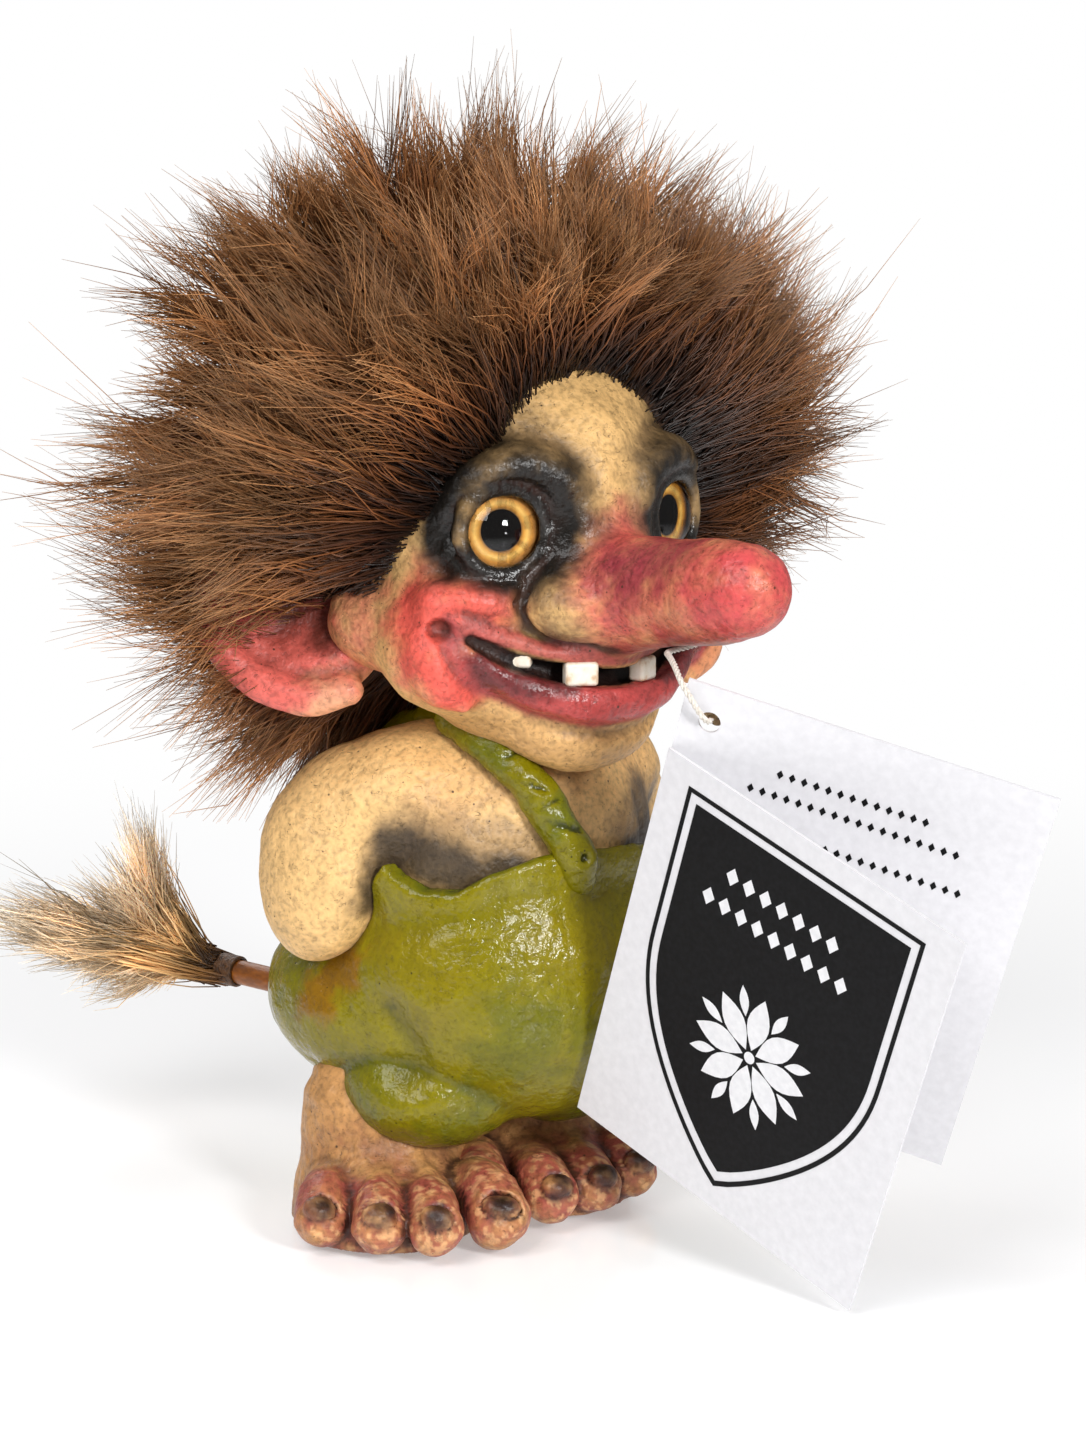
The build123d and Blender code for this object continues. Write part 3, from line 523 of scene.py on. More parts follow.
class Clay:
    """A block of modelling clay: distances to its surface in mm on a grid, negative inside."""

    def __init__(self, low, high, cell):
        self.cell = cell
        self.low = np.array(low, np.float32)
        self.count = np.ceil((np.array(high) - self.low) / cell).astype(int) + 1
        self.field = np.full(self.count, FAR, np.float32)

    def work(self, form, soft, change):
        """Changes the distances within reach of a form."""
        distance, low, high = form
        reach = soft + 6 * self.cell
        first = np.clip(np.floor((low - reach - self.low) / self.cell), 0, self.count - 1).astype(int)
        last = np.clip(np.ceil((high + reach - self.low) / self.cell) + 1, 1, self.count).astype(int)
        window = tuple(slice(a, b) for a, b in zip(first, last))
        axes = [self.low[i] + self.cell * np.arange(first[i], last[i], dtype=np.float32) for i in range(3)]
        grid = np.stack(np.meshgrid(*axes, indexing="ij"), -1)
        self.field[window] = change(self.field[window], distance(grid), max(soft, 0.01))

    def add(self, form, soft=0.0):
        """Presses a form on, with its joint filled over a soft width."""
        self.work(form, soft, join)

    def cut(self, form, soft=0.0):
        """Takes a form away."""
        self.work(form, soft, lambda old, new, width: -join(-old, new, width))

    def keep(self, form, soft=0.0):
        """Takes away what is outside a form."""
        self.work(form, soft, lambda old, new, width: -join(-old, -new, width))

    def bend(self, points, cells=3):
        """How the surface bends near points: above zero on ridges, below zero in creases, per mm."""
        place = np.clip(np.rint((points - self.low) / self.cell).astype(int), cells, self.count - 1 - cells)
        x, y, z = place.T
        total = -6 * self.field[x, y, z]
        for step in (-cells, cells):
            total += self.field[x + step, y, z] + self.field[x, y + step, z] + self.field[x, y, z + step]
        return total / (cells * self.cell) ** 2

    def piece(self, name, material, lumps=()):
        """The surface as an object; lumps are noise sizes with their heights, raised along the normals."""
        band_width = 4 * self.cell
        grid = openvdb.FloatGrid(background=band_width)
        grid.copyFromArray(np.clip(self.field, -band_width, band_width))
        points, quads = grid.convertToQuads(isovalue=0.0)
        points = points * self.cell + self.low
        result = add_piece(name, points, quads.tolist(), material)
        normals = np.empty(len(points) * 3, np.float32)
        result.data.vertex_normals.foreach_get("vector", normals)
        push = sum(grain(points, size, seed) * height for seed, (size, height) in enumerate(lumps))
        points = points + normals.reshape(-1, 3) * np.reshape(push, (-1, 1))
        result.data.vertices.foreach_set("co", (points * MM).astype(np.float32).ravel())
        result.data.shade_smooth()
        result.data.update()
        return result, points


def grain(points, size, seed=0):
    """Smooth noise from -1 to 1 over points in mm, with lumps of about one size."""
    cells = np.asarray(points, float) / size + 31.7 * (seed + 1)
    base = np.floor(cells).astype(np.int64)
    share = cells - base
    share = share * share * (3 - 2 * share)
    total = 0
    for corner in np.ndindex(2, 2, 2):
        x, y, z = (base + np.array(corner)).T
        code = (x * 73856093) ^ (y * 19349663) ^ (z * 83492791) ^ (seed * 668265263 + 374761393)
        code = ((code ^ (code >> 13)) * 1274126177) & 0xFFFFFFFF
        code = ((code ^ (code >> 16)) * 2246822519) & 0xFFFFFFFF
        weight = np.prod(np.where(np.array(corner) == 1, share, 1 - share), axis=1)
        total = total + (code / 2**31 - 1) * weight
    return total


def egg(middle, sizes, turn=(0, 0, 0)):
    """An ellipsoid by its full sizes, turned as in the CAD."""
    middle = np.array(middle, np.float32)
    half = np.array(sizes, np.float32) / 2
    spin = np.array(Euler([math.radians(angle) for angle in turn], "ZYX").to_matrix(), np.float32)

    def distance(grid):
        local = (grid - middle) @ spin
        near = np.linalg.norm(local / half, axis=-1)
        slope = np.linalg.norm(local / half**2, axis=-1)
        return near * (near - 1) / np.maximum(slope, 1e-6)

    return distance, middle - half.max(), middle + half.max()


def bar(points, radii, steps=5):
    """A round bar through points, rounded in its corners, its radius changing along it."""
    points = np.array(points, np.float32)
    radii = np.broadcast_to(np.array(radii, np.float32), (len(points),))
    knots = np.column_stack([points, radii])
    if len(points) > 2:
        ends = np.vstack([2 * knots[0] - knots[1], knots, 2 * knots[-1] - knots[-2]])
        line = []
        for a, b, c, d in zip(ends, ends[1:], ends[2:], ends[3:]):
            for t in np.arange(steps) / steps:
                curve = (2 * a - 5 * b + 4 * c - d) * t**2 + (3 * b - a - 3 * c + d) * t**3
                line.append(0.5 * (2 * b + (c - a) * t + curve))
        knots = np.array(line + [knots[-1]], np.float32)

    def distance(grid):
        best = None
        for start, end in zip(knots, knots[1:]):
            run = end[:3] - start[:3]
            share = np.clip(((grid - start[:3]) @ run) / (run @ run), 0, 1)
            gap = np.linalg.norm(grid - start[:3] - share[..., None] * run, axis=-1)
            gap -= start[3] + (end[3] - start[3]) * share
            best = gap if best is None else np.minimum(best, gap)
        return best

    return distance, knots[:, :3].min(0) - radii.max(), knots[:, :3].max(0) + radii.max()


def hoop(middle, axis, radius, thick):
    """A ring of round section."""
    middle, axis = np.array(middle, np.float32), np.array(axis, np.float32)

    def distance(grid):
        local = grid - middle
        up = local @ axis
        out = np.linalg.norm(local - up[..., None] * axis, axis=-1)
        return np.hypot(out - radius, up) - thick

    return distance, middle - radius - thick, middle + radius + thick


def half_space(point, normal):
    """Everything behind a plane."""
    point, normal = np.array(point, np.float32), np.array(normal, np.float32)
    normal = normal / np.linalg.norm(normal)
    return (lambda grid: (grid - point) @ normal), *EVERYWHERE


def upright_hole(middle, radius):
    """A round upright hole through the whole of a form."""
    return (lambda grid: np.hypot(grid[..., 0] - middle[0], grid[..., 1] - middle[1]) - radius), *EVERYWHERE


def mirrored(points):
    """Points on the figure's other side."""
    return [(-point[0], *point[1:]) for point in points]


def both_ways(points):
    """A line that ends in the figure's middle, with its mirror image after it."""
    return points + mirrored(points)[-2::-1]


# Points as they are, and on the other side
BOTH_SIDES = (list, mirrored)


class Paint:
    """The paint on a casting's surface points, laid on coat by coat."""

    def __init__(self, points, base):
        self.points = points
        self.colours = np.tile(ink(base), (len(points), 1))

    def lay(self, colour, share):
        """Covers each point with a colour by its share, from 0 to 1."""
        share = np.reshape(share, (-1, 1))
        self.colours = self.colours * (1 - share) + ink(colour) * share

    def spray(self, colour, middle, radius, strength=1.0, ragged=0.2, soft=0.9, run=False):
        """Airbrushes a colour round places, or along the line through them, with a soft mottled edge."""
        middle = np.atleast_2d(np.array(middle, float))
        radius = np.broadcast_to(np.array(radius, float), (len(middle),))
        if run:
            fine = np.linspace(0, len(middle) - 1, 6 * (len(middle) - 1) + 1)
            radius = np.interp(fine, np.arange(len(middle)), radius)
            middle = np.stack([np.interp(fine, np.arange(len(middle)), column) for column in middle.T], 1)
        near = np.full(len(self.points), 99.0)
        for centre, reach in zip(middle, radius):
            near = np.minimum(near, np.linalg.norm(self.points - centre, axis=1) / reach)
        near = near + ragged * grain(self.points, 2.2, 3) + 0.5 * ragged * grain(self.points, 0.7, 4)
        share = np.clip((0.85 - near) / soft + 0.5, 0, 1)
        self.lay(colour, strength * share * share * (3 - 2 * share))

    def line(self, colour, middle, radius, strength=1.0, ragged=0.2, soft=0.9):
        """Airbrushes along the line through places."""
        self.spray(colour, middle, radius, strength, ragged, soft, run=True)

    def paint_crease_shade(self, colour, bend, depth, strength):
        """Painted shade in the creases, where the surface bends inwards: depth is the bend per mm that is
        wholly covered.
        """
        self.lay(colour, strength * np.clip(-bend / depth, 0, 1))

    def store(self, piece, gloss):
        """Stores paint and gloss on the surface points, for the material."""
        gloss = np.broadcast_to(gloss, (len(self.points),))
        opaque = np.ones(len(self.points))
        layer = piece.data.color_attributes.new("paint", "FLOAT_COLOR", "POINT")
        colours = np.column_stack([np.clip(self.colours, 0, 1), opaque])
        layer.data.foreach_set("color", colours.astype(np.float32).ravel())
        layer = piece.data.attributes.new("gloss", "FLOAT", "POINT")
        layer.data.foreach_set("value", np.clip(gloss, 0, 1).astype(np.float32))


def add_attribute(tree, name, output):
    """A value that is stored on the piece's points."""
    node = tree.nodes.new("ShaderNodeAttribute")
    node.attribute_name = name
    return node.outputs[output]


def add_math(tree, operation, *values):
    """A sum or a comparison; each value is a socket or a number."""
    node = tree.nodes.new("ShaderNodeMath")
    node.operation = operation
    for place, value in enumerate(values):
        if isinstance(value, bpy.types.NodeSocket):
            tree.links.new(value, node.inputs[place])
        else:
            node.inputs[place].default_value = value
    return node.outputs[0]


def painted_latex(name, dull, shiny, specks, fibre_share, orange_peel, blotch, specular=0.5):
    """Painted casting: paint from the surface, pinholes, short fibre marks and an uneven varnish."""
    material, tree, shader = new_material(name)
    paint = add_attribute(tree, "paint", "Color")
    blotches = [(0.3, 1 - blotch), (0.5, 1.0), (0.7, 1 + 0.4 * blotch)]
    mottle = add_ramp(tree, add_noise(tree, 1300, 6.0), blotches)
    colour = mix_colours(tree, 1.0, paint, mottle, "MULTIPLY")
    cloud = add_ramp(tree, add_noise(tree, 260, 3.0), [(0.3, 0.9), (0.7, 1.08)])
    colour = mix_colours(tree, 1.0, colour, cloud, "MULTIPLY")
    # Fibre marks: thin level lines of a stretched noise, broken up by a second one
    level = add_noise(tree, 520, 2.0, (1, 1, 1.6), 1.6)
    line = add_math(tree, "ABSOLUTE", add_math(tree, "SUBTRACT", level, 0.5))
    line = add_math(tree, "LESS_THAN", line, 0.006)
    broken = add_math(tree, "GREATER_THAN", add_noise(tree, 900, 2.0), 0.53)
    fibre = add_math(tree, "MULTIPLY", line, broken)
    colour = mix_colours(tree, add_math(tree, "MULTIPLY", fibre, fibre_share), colour, ink(specks))
    # Pinholes: a small dark dot in some of the cells
    place = tree.nodes.new("ShaderNodeTexCoord")
    cells = tree.nodes.new("ShaderNodeTexVoronoi")
    cells.inputs["Scale"].default_value = 620
    tree.links.new(place.outputs["Object"], cells.inputs["Vector"])
    chosen = tree.nodes.new("ShaderNodeSeparateColor")
    tree.links.new(cells.outputs["Color"], chosen.inputs["Color"])
    size = add_math(tree, "MULTIPLY", chosen.outputs[0], 0.11)
    dot = add_math(tree, "LESS_THAN", cells.outputs["Distance"], size)
    dot = add_math(tree, "MULTIPLY", dot, add_math(tree, "GREATER_THAN", chosen.outputs[1], 0.3))
    colour = mix_colours(tree, add_math(tree, "MULTIPLY", dot, 0.85), colour, ink(specks))
    tree.links.new(colour, shader.inputs["Base Color"])
    shader.inputs["Specular IOR Level"].default_value = specular
    uneven = add_math(tree, "MULTIPLY", add_noise(tree, 300, 4.0), 0.16)
    gloss = add_attribute(tree, "gloss", "Fac")
    rough = add_math(tree, "MULTIPLY_ADD", gloss, shiny - dull, dull - 0.08)
    tree.links.new(add_math(tree, "ADD", rough, uneven), shader.inputs["Roughness"])
    holes = add_math(tree, "SUBTRACT", 1.0, add_math(tree, "MAXIMUM", dot, fibre))
    add_bump(tree, shader, [
        (add_noise(tree, 260, 4.0), 0.35 * orange_peel),
        (add_noise(tree, 1300, 3.0), 0.11 * orange_peel),
        (holes, 0.12),
    ])
    return material


skin = painted_latex("skin_paint", 0.62, 0.18, "#3c2c1c", 0.6, 1.7, 0.34, 0.4)

CRANIUM = ((0, -6.5, 92), (44, 36, 48))
NECK_MIDDLE, NECK_RADIUS, NECK_PLAY, NECK_WALL = (0, -4), 8.0, 0.1, 0.6
EYE_RADIUS, EYE_PLANE = 6.0, 3.3
# The upper lid's ridge, across and above the eye
UPPER_LID = ((-5.6, 0.2), (-4.0, 4.1), (0, 5.7), (4.0, 4.1), (5.6, 0.2))
eyes = {}
for side, word in ((-1, "right"), (1, "left")):
    outward = np.array((side * math.sin(math.radians(20)), -math.cos(math.radians(20)), 0))
    eyes[word] = (np.array((side * 12.1, -16.7, 91.8)), outward)

NOSE = [(0, -16, 83.0), (0, -24, 83.4), (0, -37.5, 85.0), (0, -44.5, 85.8), (0, -49.6, 86.5)]
head = Clay((-27, -61, 56), (27, 15, 119), 0.41)
head.add(egg(*CRANIUM))
head.add(egg((0, -12, 73), (34, 29, 22)), 5)
head.add(egg((0, -19.5, 66.5), (19, 13, 12)), 4)
head.add(bar(NOSE, [8.4, 7.8, 6.4, 6.3, 5.6], 2), 4.5)
head.add(egg((0, -20.5, 95), (10, 9, 20)), 5)
CHEEK_RIDGE = [(-20.0, -16.5, 82.6), (-15.6, -20.0, 83.0), (-11.4, -21.3, 81.6)]
CHEEK_FOLD = [(-21.6, -16.4, 77.4), (-21.0, -17.2, 73.6), (-18.2, -18.4, 70.8)]
BROW = [
    (-18.0, -15.8, 94.5), (-16.6, -18.2, 98.0), (-12.0, -20.9, 99.8),
    (-7.4, -23.0, 98.4), (-4.6, -24.0, 94.4), (-4.6, -23.6, 90.0),
]
EYE_BAG = [(-18.2, -16.2, 89.0), (-16.2, -18.4, 86.3), (-12.3, -20.8, 84.9), (-8.4, -22.2, 86.2)]
for flip in BOTH_SIDES:
    head.add(egg(flip([(-15.5, -12.5, 77.5)])[0], (18, 18, 18)), 3.0)
    head.add(bar(flip([(-14, -6, 80), (-19.6, -2.4, 79.5)]), [8.5, 6.2]), 4.0)
    head.add(bar(flip(CHEEK_RIDGE), [3.4, 2.6, 1.2]), 1.6)
    head.add(bar(flip(CHEEK_FOLD), [2.9, 2.7, 1.2]), 1.6)
    head.add(egg(flip([(-6.6, -24.0, 82.6)])[0], (11.0, 14.5, 9.0)), 2.2)
    head.add(bar(flip(BROW), [1.6, 2.2, 2.5, 2.3, 1.8, 1.2]), 2.2)
    head.add(bar(flip(EYE_BAG), [1.0, 1.5, 1.5, 0.9]), 1.4)
for word, (middle, outward) in eyes.items():
    head.cut(egg(middle + outward * 6.8, (12.5, 12.5, 12.5)), 1.2)
    lid = middle + outward * 3.9
    head.add(hoop(lid, outward, 5.35, 1.05), 0.5)
    beside = np.array((-outward[1], outward[0], 0))
    head.add(bar([
        lid + beside * reach + np.array((0, 0, rise)) for reach, rise in UPPER_LID
    ], [0.6, 1.1, 1.35, 1.1, 0.6]), 0.5)
LOWER_RIDGE = [(-17.2, -19.9, 76.2), (-12.6, -21.9, 73.0), (-6.4, -24.6, 70.9), (0, -25.7, 70.3)]
UPPER_RIDGE = [(-17.0, -20.4, 79.9), (-12.2, -21.9, 78.0), (-6.6, -24.2, 76.6), (0, -25.4, 75.9)]
MOUTH = both_ways([(-18.4, -20.6, 78.7), (-12.4, -22.9, 75.6), (-6.6, -25.8, 74.0), (0, -27.2, 73.3)])
head.add(bar(both_ways(LOWER_RIDGE), [1.1, 2.0, 2.7, 2.8, 2.7, 2.0, 1.1]), 1.0)
head.add(bar(both_ways(UPPER_RIDGE), [0.8, 1.1, 1.25, 1.2, 1.25, 1.1, 0.8]), 0.9)
head.cut(bar(MOUTH, [0.8, 1.35, 1.35, 1.2, 1.35, 1.35, 0.8]), 0.45)
head.cut(bar([(x * 0.93, y + 2.8, z) for x, y, z in MOUTH[1:-1]], [1.5, 2.0, 2.0, 2.0, 1.5]), 0.4)
NOSE_WING = [
    (-9.6, -22.8, 87.6), (-11.6, -22.6, 85.2), (-12.2, -22.4, 81.9), (-9.4, -23.8, 78.6), (-5.2, -27.4, 77.7),
]
# The dimple at the corner of the mouth, the folds that run from it, and the one under the lower lip
DIMPLE = (-21.9, -19.0, 80.2)
DIMPLE_FOLD = [(-21.6, -19.6, 80.0), (-20.3, -20.6, 79.2), (-18.2, -21.4, 78.9)]
OVER_DIMPLE = [(-21.4, -19.8, 82.2), (-19.0, -21.0, 81.9), (-16.4, -21.8, 81.0)]
OVER_LIP = [(-18.8, -21.6, 79.4), (-15.4, -22.6, 80.6), (-11.4, -23.2, 79.6)]
UNDER_CHEEK = [(-22.0, -19.4, 79.6), (-21.8, -19.9, 76.8), (-19.6, -20.9, 73.6), (-17.0, -21.2, 71.6)]
OVER_CHEEK = [(-17.6, -19.0, 84.4), (-13.2, -22.0, 82.9), (-10.6, -23.2, 84.0)]
CHIN_FOLD = [(-10.6, -22.6, 68.0), (-5.4, -25.2, 66.6), (0, -25.9, 66.2)]
for flip in BOTH_SIDES:
    head.cut(bar(flip(NOSE_WING), [0.1, 0.35, 0.5, 0.6, 0.3]), 1.4)
    head.cut(egg(flip([DIMPLE])[0], (3.4, 3.4, 2.6)), 0.7)
    head.cut(bar(flip(DIMPLE_FOLD), [1.1, 0.9, 0.5]), 0.6)
    head.cut(bar(flip(OVER_DIMPLE), [0.2, 0.5, 0.2]), 1.2)
    head.cut(bar(flip(OVER_LIP), [0.3, 0.5, 0.25]), 0.7)
    head.cut(bar(flip(UNDER_CHEEK), [0.7, 0.45, 0.5, 0.3]), 0.8)
    head.cut(bar(flip(OVER_CHEEK), 0.3), 0.8)
head.cut(bar(both_ways(CHIN_FOLD), [0.2, 0.3, 0.3, 0.3, 0.2]), 2.2)
for word, (middle, outward) in eyes.items():
    head.cut(egg(middle, (2 * EYE_RADIUS,) * 3))
    head.cut(bar([middle + outward * 4.3, middle + outward * 9], 4.05), 0.3)
head.cut(upright_hole(NECK_MIDDLE, NECK_RADIUS + NECK_PLAY))

head_piece, points = head.piece("head_skin", skin, ((6.0, 0.22), (2.4, 0.10), (1.0, 0.05)))
bend = head.bend(points)
paint = Paint(points, "#e0b475")
# Painted shade on the underside of the jaw, and in the crease under the nose
paint.line("#c2925a", [(-13, -14, 66), (0, -22, 63), (13, -14, 66)], 9, 0.7)
paint.line("#a3784c", [(-8, -26, 78.4), (0, -27, 78.0), (8, -26, 78.4)], 2.8, 0.8)
CHEEK = [(16.0, -20.5, 83.4), (21.5, -16.5, 82.0), (21.5, -17, 77), (19.5, -19, 72.6)]
for flip, strength in zip(BOTH_SIDES, (0.45, 0.95)):
    paint.line("#dc5048", flip(CHEEK), [5.2, 7.6, 6.4, 4.6], strength)
    paint.spray("#d9675c", flip([(19.5, -3, 79.5)]), 8.0, 0.85)
    # Painted shade in the fold beside the mouth's corner and in the dimple
    paint.line("#8d4346", flip([(20.6, -19.8, 80.0), (19.4, -20.5, 76.0)]), 2.2, 0.7, 0.4)
    paint.spray("#4a2019", flip([(21.6, -18.6, 80.1)]), 1.6, 0.85)
# The nose: red over its whole end, darker in streaks along it, with painted shade under its wings and along
# its underside
paint.line("#cd6253", [(0, -25.5, 88.5), (0, -28, 86)], [5.4, 9.0], 0.8)
paint.line("#c64a4b", [(0, -31, 84.8), (0, -50, 86.5)], [10.0, 9.8], 1.0, 0.15)
# Painted shade under the nose's wings
for flip in BOTH_SIDES:
    paint.line("#6e5238", flip([(9.6, -25, 84.0), (8.6, -26.5, 81.0)]), 3.8, 0.8, 0.3)
paint.line("#86303e", [(-4.5, -32.5, 86.5), (-3.5, -37, 88), (-3, -42, 88.5)], [4.4, 5.2, 4.4], 0.75, 0.3)
paint.line("#86303e", [(4.0, -33, 86.5), (4.5, -42, 88)], 3.6, 0.6, 0.3)
# Painted shade along the nose's underside
paint.line("#7d3436", [(0, -31, 77.6), (0, -38, 78.4), (0, -45, 79.8)], 3.8, 0.55, 0.3)
# Black round the eyes, with a brown haze at its edge, and black paint with painted shade down the groove
# round the nose's wing
HAZE_ABOVE = [(18, -16, 99.5), (12, -20, 102), (6.5, -23, 99), (4.0, -25, 92)]
HAZE_BELOW = [(18.5, -16.5, 87), (12.5, -21, 84.2), (6, -24.5, 87)]
EYE_BLACK = [
    (18.6, -15.5, 91), (18.0, -16.0, 97), (12.6, -19.8, 98.6), (8.0, -22.4, 97.2), (6.4, -23.2, 92.6),
    (8.4, -22.8, 88.2), (12.6, -20.8, 87.0), (17.4, -17.4, 88.6),
]
WING_BLACK_AND_SHADE = [
    (10.6, -22.4, 87.0), (12.0, -22.4, 83.4), (11.0, -23.0, 80.0), (7.4, -25.4, 78.2), (3.0, -28.6, 77.6),
]
for flip in reversed(BOTH_SIDES):
    paint.line("#5a4a38", flip(HAZE_ABOVE), [6.5, 6.0, 5.0, 3.8], 0.6)
    paint.line("#5a4a38", flip(HAZE_BELOW), 4.2, 0.6)
    paint.line("#17130f", flip(EYE_BLACK), [4.4, 5.0, 5.8, 5.4, 4.4, 4.4, 4.4, 4.4], 1.0, 0.14, 0.7)
    paint.spray("#17130f", flip([(12.5, -19.5, 92.0)]), 8.0, 1.0, 0.1)
    # Black paint and painted shade down the groove round the nose's wing
    paint.line("#332820", flip(WING_BLACK_AND_SHADE), [1.5, 1.2, 1.5, 1.9, 1.6], 0.85, 0.25)
# Lips, and the dark inside of the mouth
LOWER_LIP = [
    (-18.2, -20.0, 75.4), (-15.4, -21.6, 73.2), (-11.0, -24.2, 71.2), (-6.4, -26.4, 70.1), (0, -27.6, 69.7),
]
UPPER_LIP = [
    (-18.6, -20.6, 80.4), (-15.4, -21.9, 79.2), (-10.4, -24.2, 77.6), (-5.4, -26.0, 76.5), (0, -26.8, 76.0),
]
DARK_LIP = [(-17.8, -20.4, 76.4), (-15.6, -21.6, 74.4), (-11.4, -23.8, 73.2), (-7.0, -26.2, 72.6)]
lower_lip = both_ways(LOWER_LIP)
paint.line("#b04542", lower_lip, [2.4, 3.2, 3.6, 3.6, 3.6, 3.6, 3.6, 3.2, 2.4], 1.0, 0.08, 0.4)
for flip in BOTH_SIDES:
    paint.line("#4f1d1f", flip(DARK_LIP), [1.8, 2.4, 2.2, 1.4], 0.85, 0.25)
paint.line("#a94f48", both_ways(UPPER_LIP), 1.7, 0.95, 0.12, 0.5)
for depth, reach in ((1.6, 1.9), (3.6, 2.9)):
    inside = [(x * (1.02 - 0.02 * depth), y + depth, z) for x, y, z in MOUTH]
    paint.line("#140706", inside, reach, 1.0, 0.04, 0.4)
# Painted shade in the creases, and painted highlights that lighten the ridges
paint.paint_crease_shade("#3a2118", bend, 0.9, 0.6)
ridge_highlight = 0.35 * (np.clip(bend - 0.35, 0, 1) * np.clip(0.5 + grain(points, 1.2, 9), 0, 1))[:, None]
paint.colours = paint.colours * (1 - ridge_highlight) + np.minimum(paint.colours * 1.9 + 0.05, 1) * ridge_highlight
# The varnish: thick on the black, the lips and the nose's end
eye_shine = np.zeros(len(points))
for flip in BOTH_SIDES:
    for centre, reach in (((13, -20, 93), 9.0), ((7.6, -23, 91), 4.5), ((12.4, -20.6, 86.4), 4.5)):
        away = np.linalg.norm(points - np.array(flip([centre])[0]), axis=1) / reach
        eye_shine = np.maximum(eye_shine, np.clip(1.4 - away, 0, 1))
NOSE_SHINES_FROM = -30
gloss = 0.30 + 0.55 * eye_shine + 0.25 * (points[:, 1] < NOSE_SHINES_FROM)
for centre in lower_lip:
    away = np.linalg.norm(points - np.array(centre), axis=1) / 2.6
    gloss = np.maximum(gloss, 0.85 * np.clip(1.6 - away, 0, 1))
paint.store(head_piece, gloss)
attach(head_piece, "figure")
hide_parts("head")


# Eyes: glass craft eyes set from outside, each a clear dome with an amber
# enamel ring and a black pupil fused to its flat back.
eye_clear, tree, shader = new_material("eye_clear", 0.02)
clear = tree.nodes.new("ShaderNodeBsdfTransparent")
shine = tree.nodes.new("ShaderNodeBsdfGlossy")
shine.inputs["Roughness"].default_value = 0.015
bounce = tree.nodes.new("ShaderNodeFresnel")
bounce.inputs["IOR"].default_value = 1.5
facing = tree.nodes.new("ShaderNodeNewGeometry")
front = add_math(tree, "SUBTRACT", 1.0, facing.outputs["Backfacing"])
outside = add_math(tree, "MULTIPLY", bounce.outputs[0], front)
blend = tree.nodes.new("ShaderNodeMixShader")
tree.links.new(outside, blend.inputs[0])
tree.links.new(clear.outputs[0], blend.inputs[1])
tree.links.new(shine.outputs[0], blend.inputs[2])
tree.links.new(blend.outputs[0], tree.nodes["Material Output"].inputs["Surface"])
tree.nodes.remove(shader)

SOOT_COLOURS = [(0.3, "#050404"), (0.8, "#0d0a08")]
AMBER_COLOURS = [
    (0.50, "#3a1a04"), (0.58, "#c98a24"), (0.68, "#f0c060"), (0.80, "#c9862a"), (0.95, "#4a2606"),
]
AMBER_REACH = 5.0
eye_black_glass, tree, shader = mottled_material("eye_black_glass", 0.5, 900, SOOT_COLOURS)
shader.inputs["Specular IOR Level"].default_value = 0.0

for word, (middle, outward) in eyes.items():
    amber, tree, shader = new_material(f"eye_amber_{word}", 0.3)
    place = tree.nodes.new("ShaderNodeTexCoord")
    away = tree.nodes.new("ShaderNodeVectorMath")
    away.operation = "DISTANCE"
    away.inputs[1].default_value = (middle + outward * EYE_PLANE) * MM
    tree.links.new(place.outputs["Object"], away.inputs[0])
    share = add_math(tree, "DIVIDE", away.outputs["Value"], AMBER_REACH * MM)
    ring_colour = add_ramp(tree, share, [(stop, ink(code)) for stop, code in AMBER_COLOURS])
    streaks = add_ramp(tree, add_noise(tree, 1400, 3.0), [(0.3, 0.75), (0.7, 1.1)])
    tree.links.new(mix_colours(tree, 1.0, ring_colour, streaks, "MULTIPLY"), shader.inputs["Base Color"])
    set_material(amber, f"{word}_eye_iris")
    set_material(eye_black_glass, f"{word}_eye_pupil", f"{word}_eye_shank")
    set_material(eye_clear, f"{word}_eye_glass")
    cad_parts[f"{word}_eye_glass"].data.shade_smooth()


# Teeth: three chips of white-painted latex along the upper lip. They keep the
# shapes of the CAD and get only their paint here.
STAIN_COLOURS = [(0.3, "#c9a57c"), (0.5, "#eadfcc"), (0.8, "#f4efe4")]
enamel = mottled_material("tooth_paint", 0.35, 700, STAIN_COLOURS, 4.0, bump=0.15)[0]
set_material(enamel, "left_tooth", "middle_tooth", "right_tooth")


# Ears: large dished ears, cast with the head. A thick soft rim runs round
# each, and the hollow is darker than the rim with painted shade, as under the hair.
EAR_MIDDLE, EAR_SIZES = (25.884, 4.374, 81.0), (24.5, 7.0, 24.0)
EAR_LEAN, EAR_HEADING = 22, 40


def ear_frame(side):
    """An ear's middle, its turn as in the CAD, and its own axes; side is -1 right, 1 left."""
    turn = (0, -side * EAR_LEAN, side * EAR_HEADING)
    axes = np.array(Euler([math.radians(angle) for angle in turn], "ZYX").to_matrix())
    return np.array((side * EAR_MIDDLE[0], *EAR_MIDDLE[1:])), turn, axes


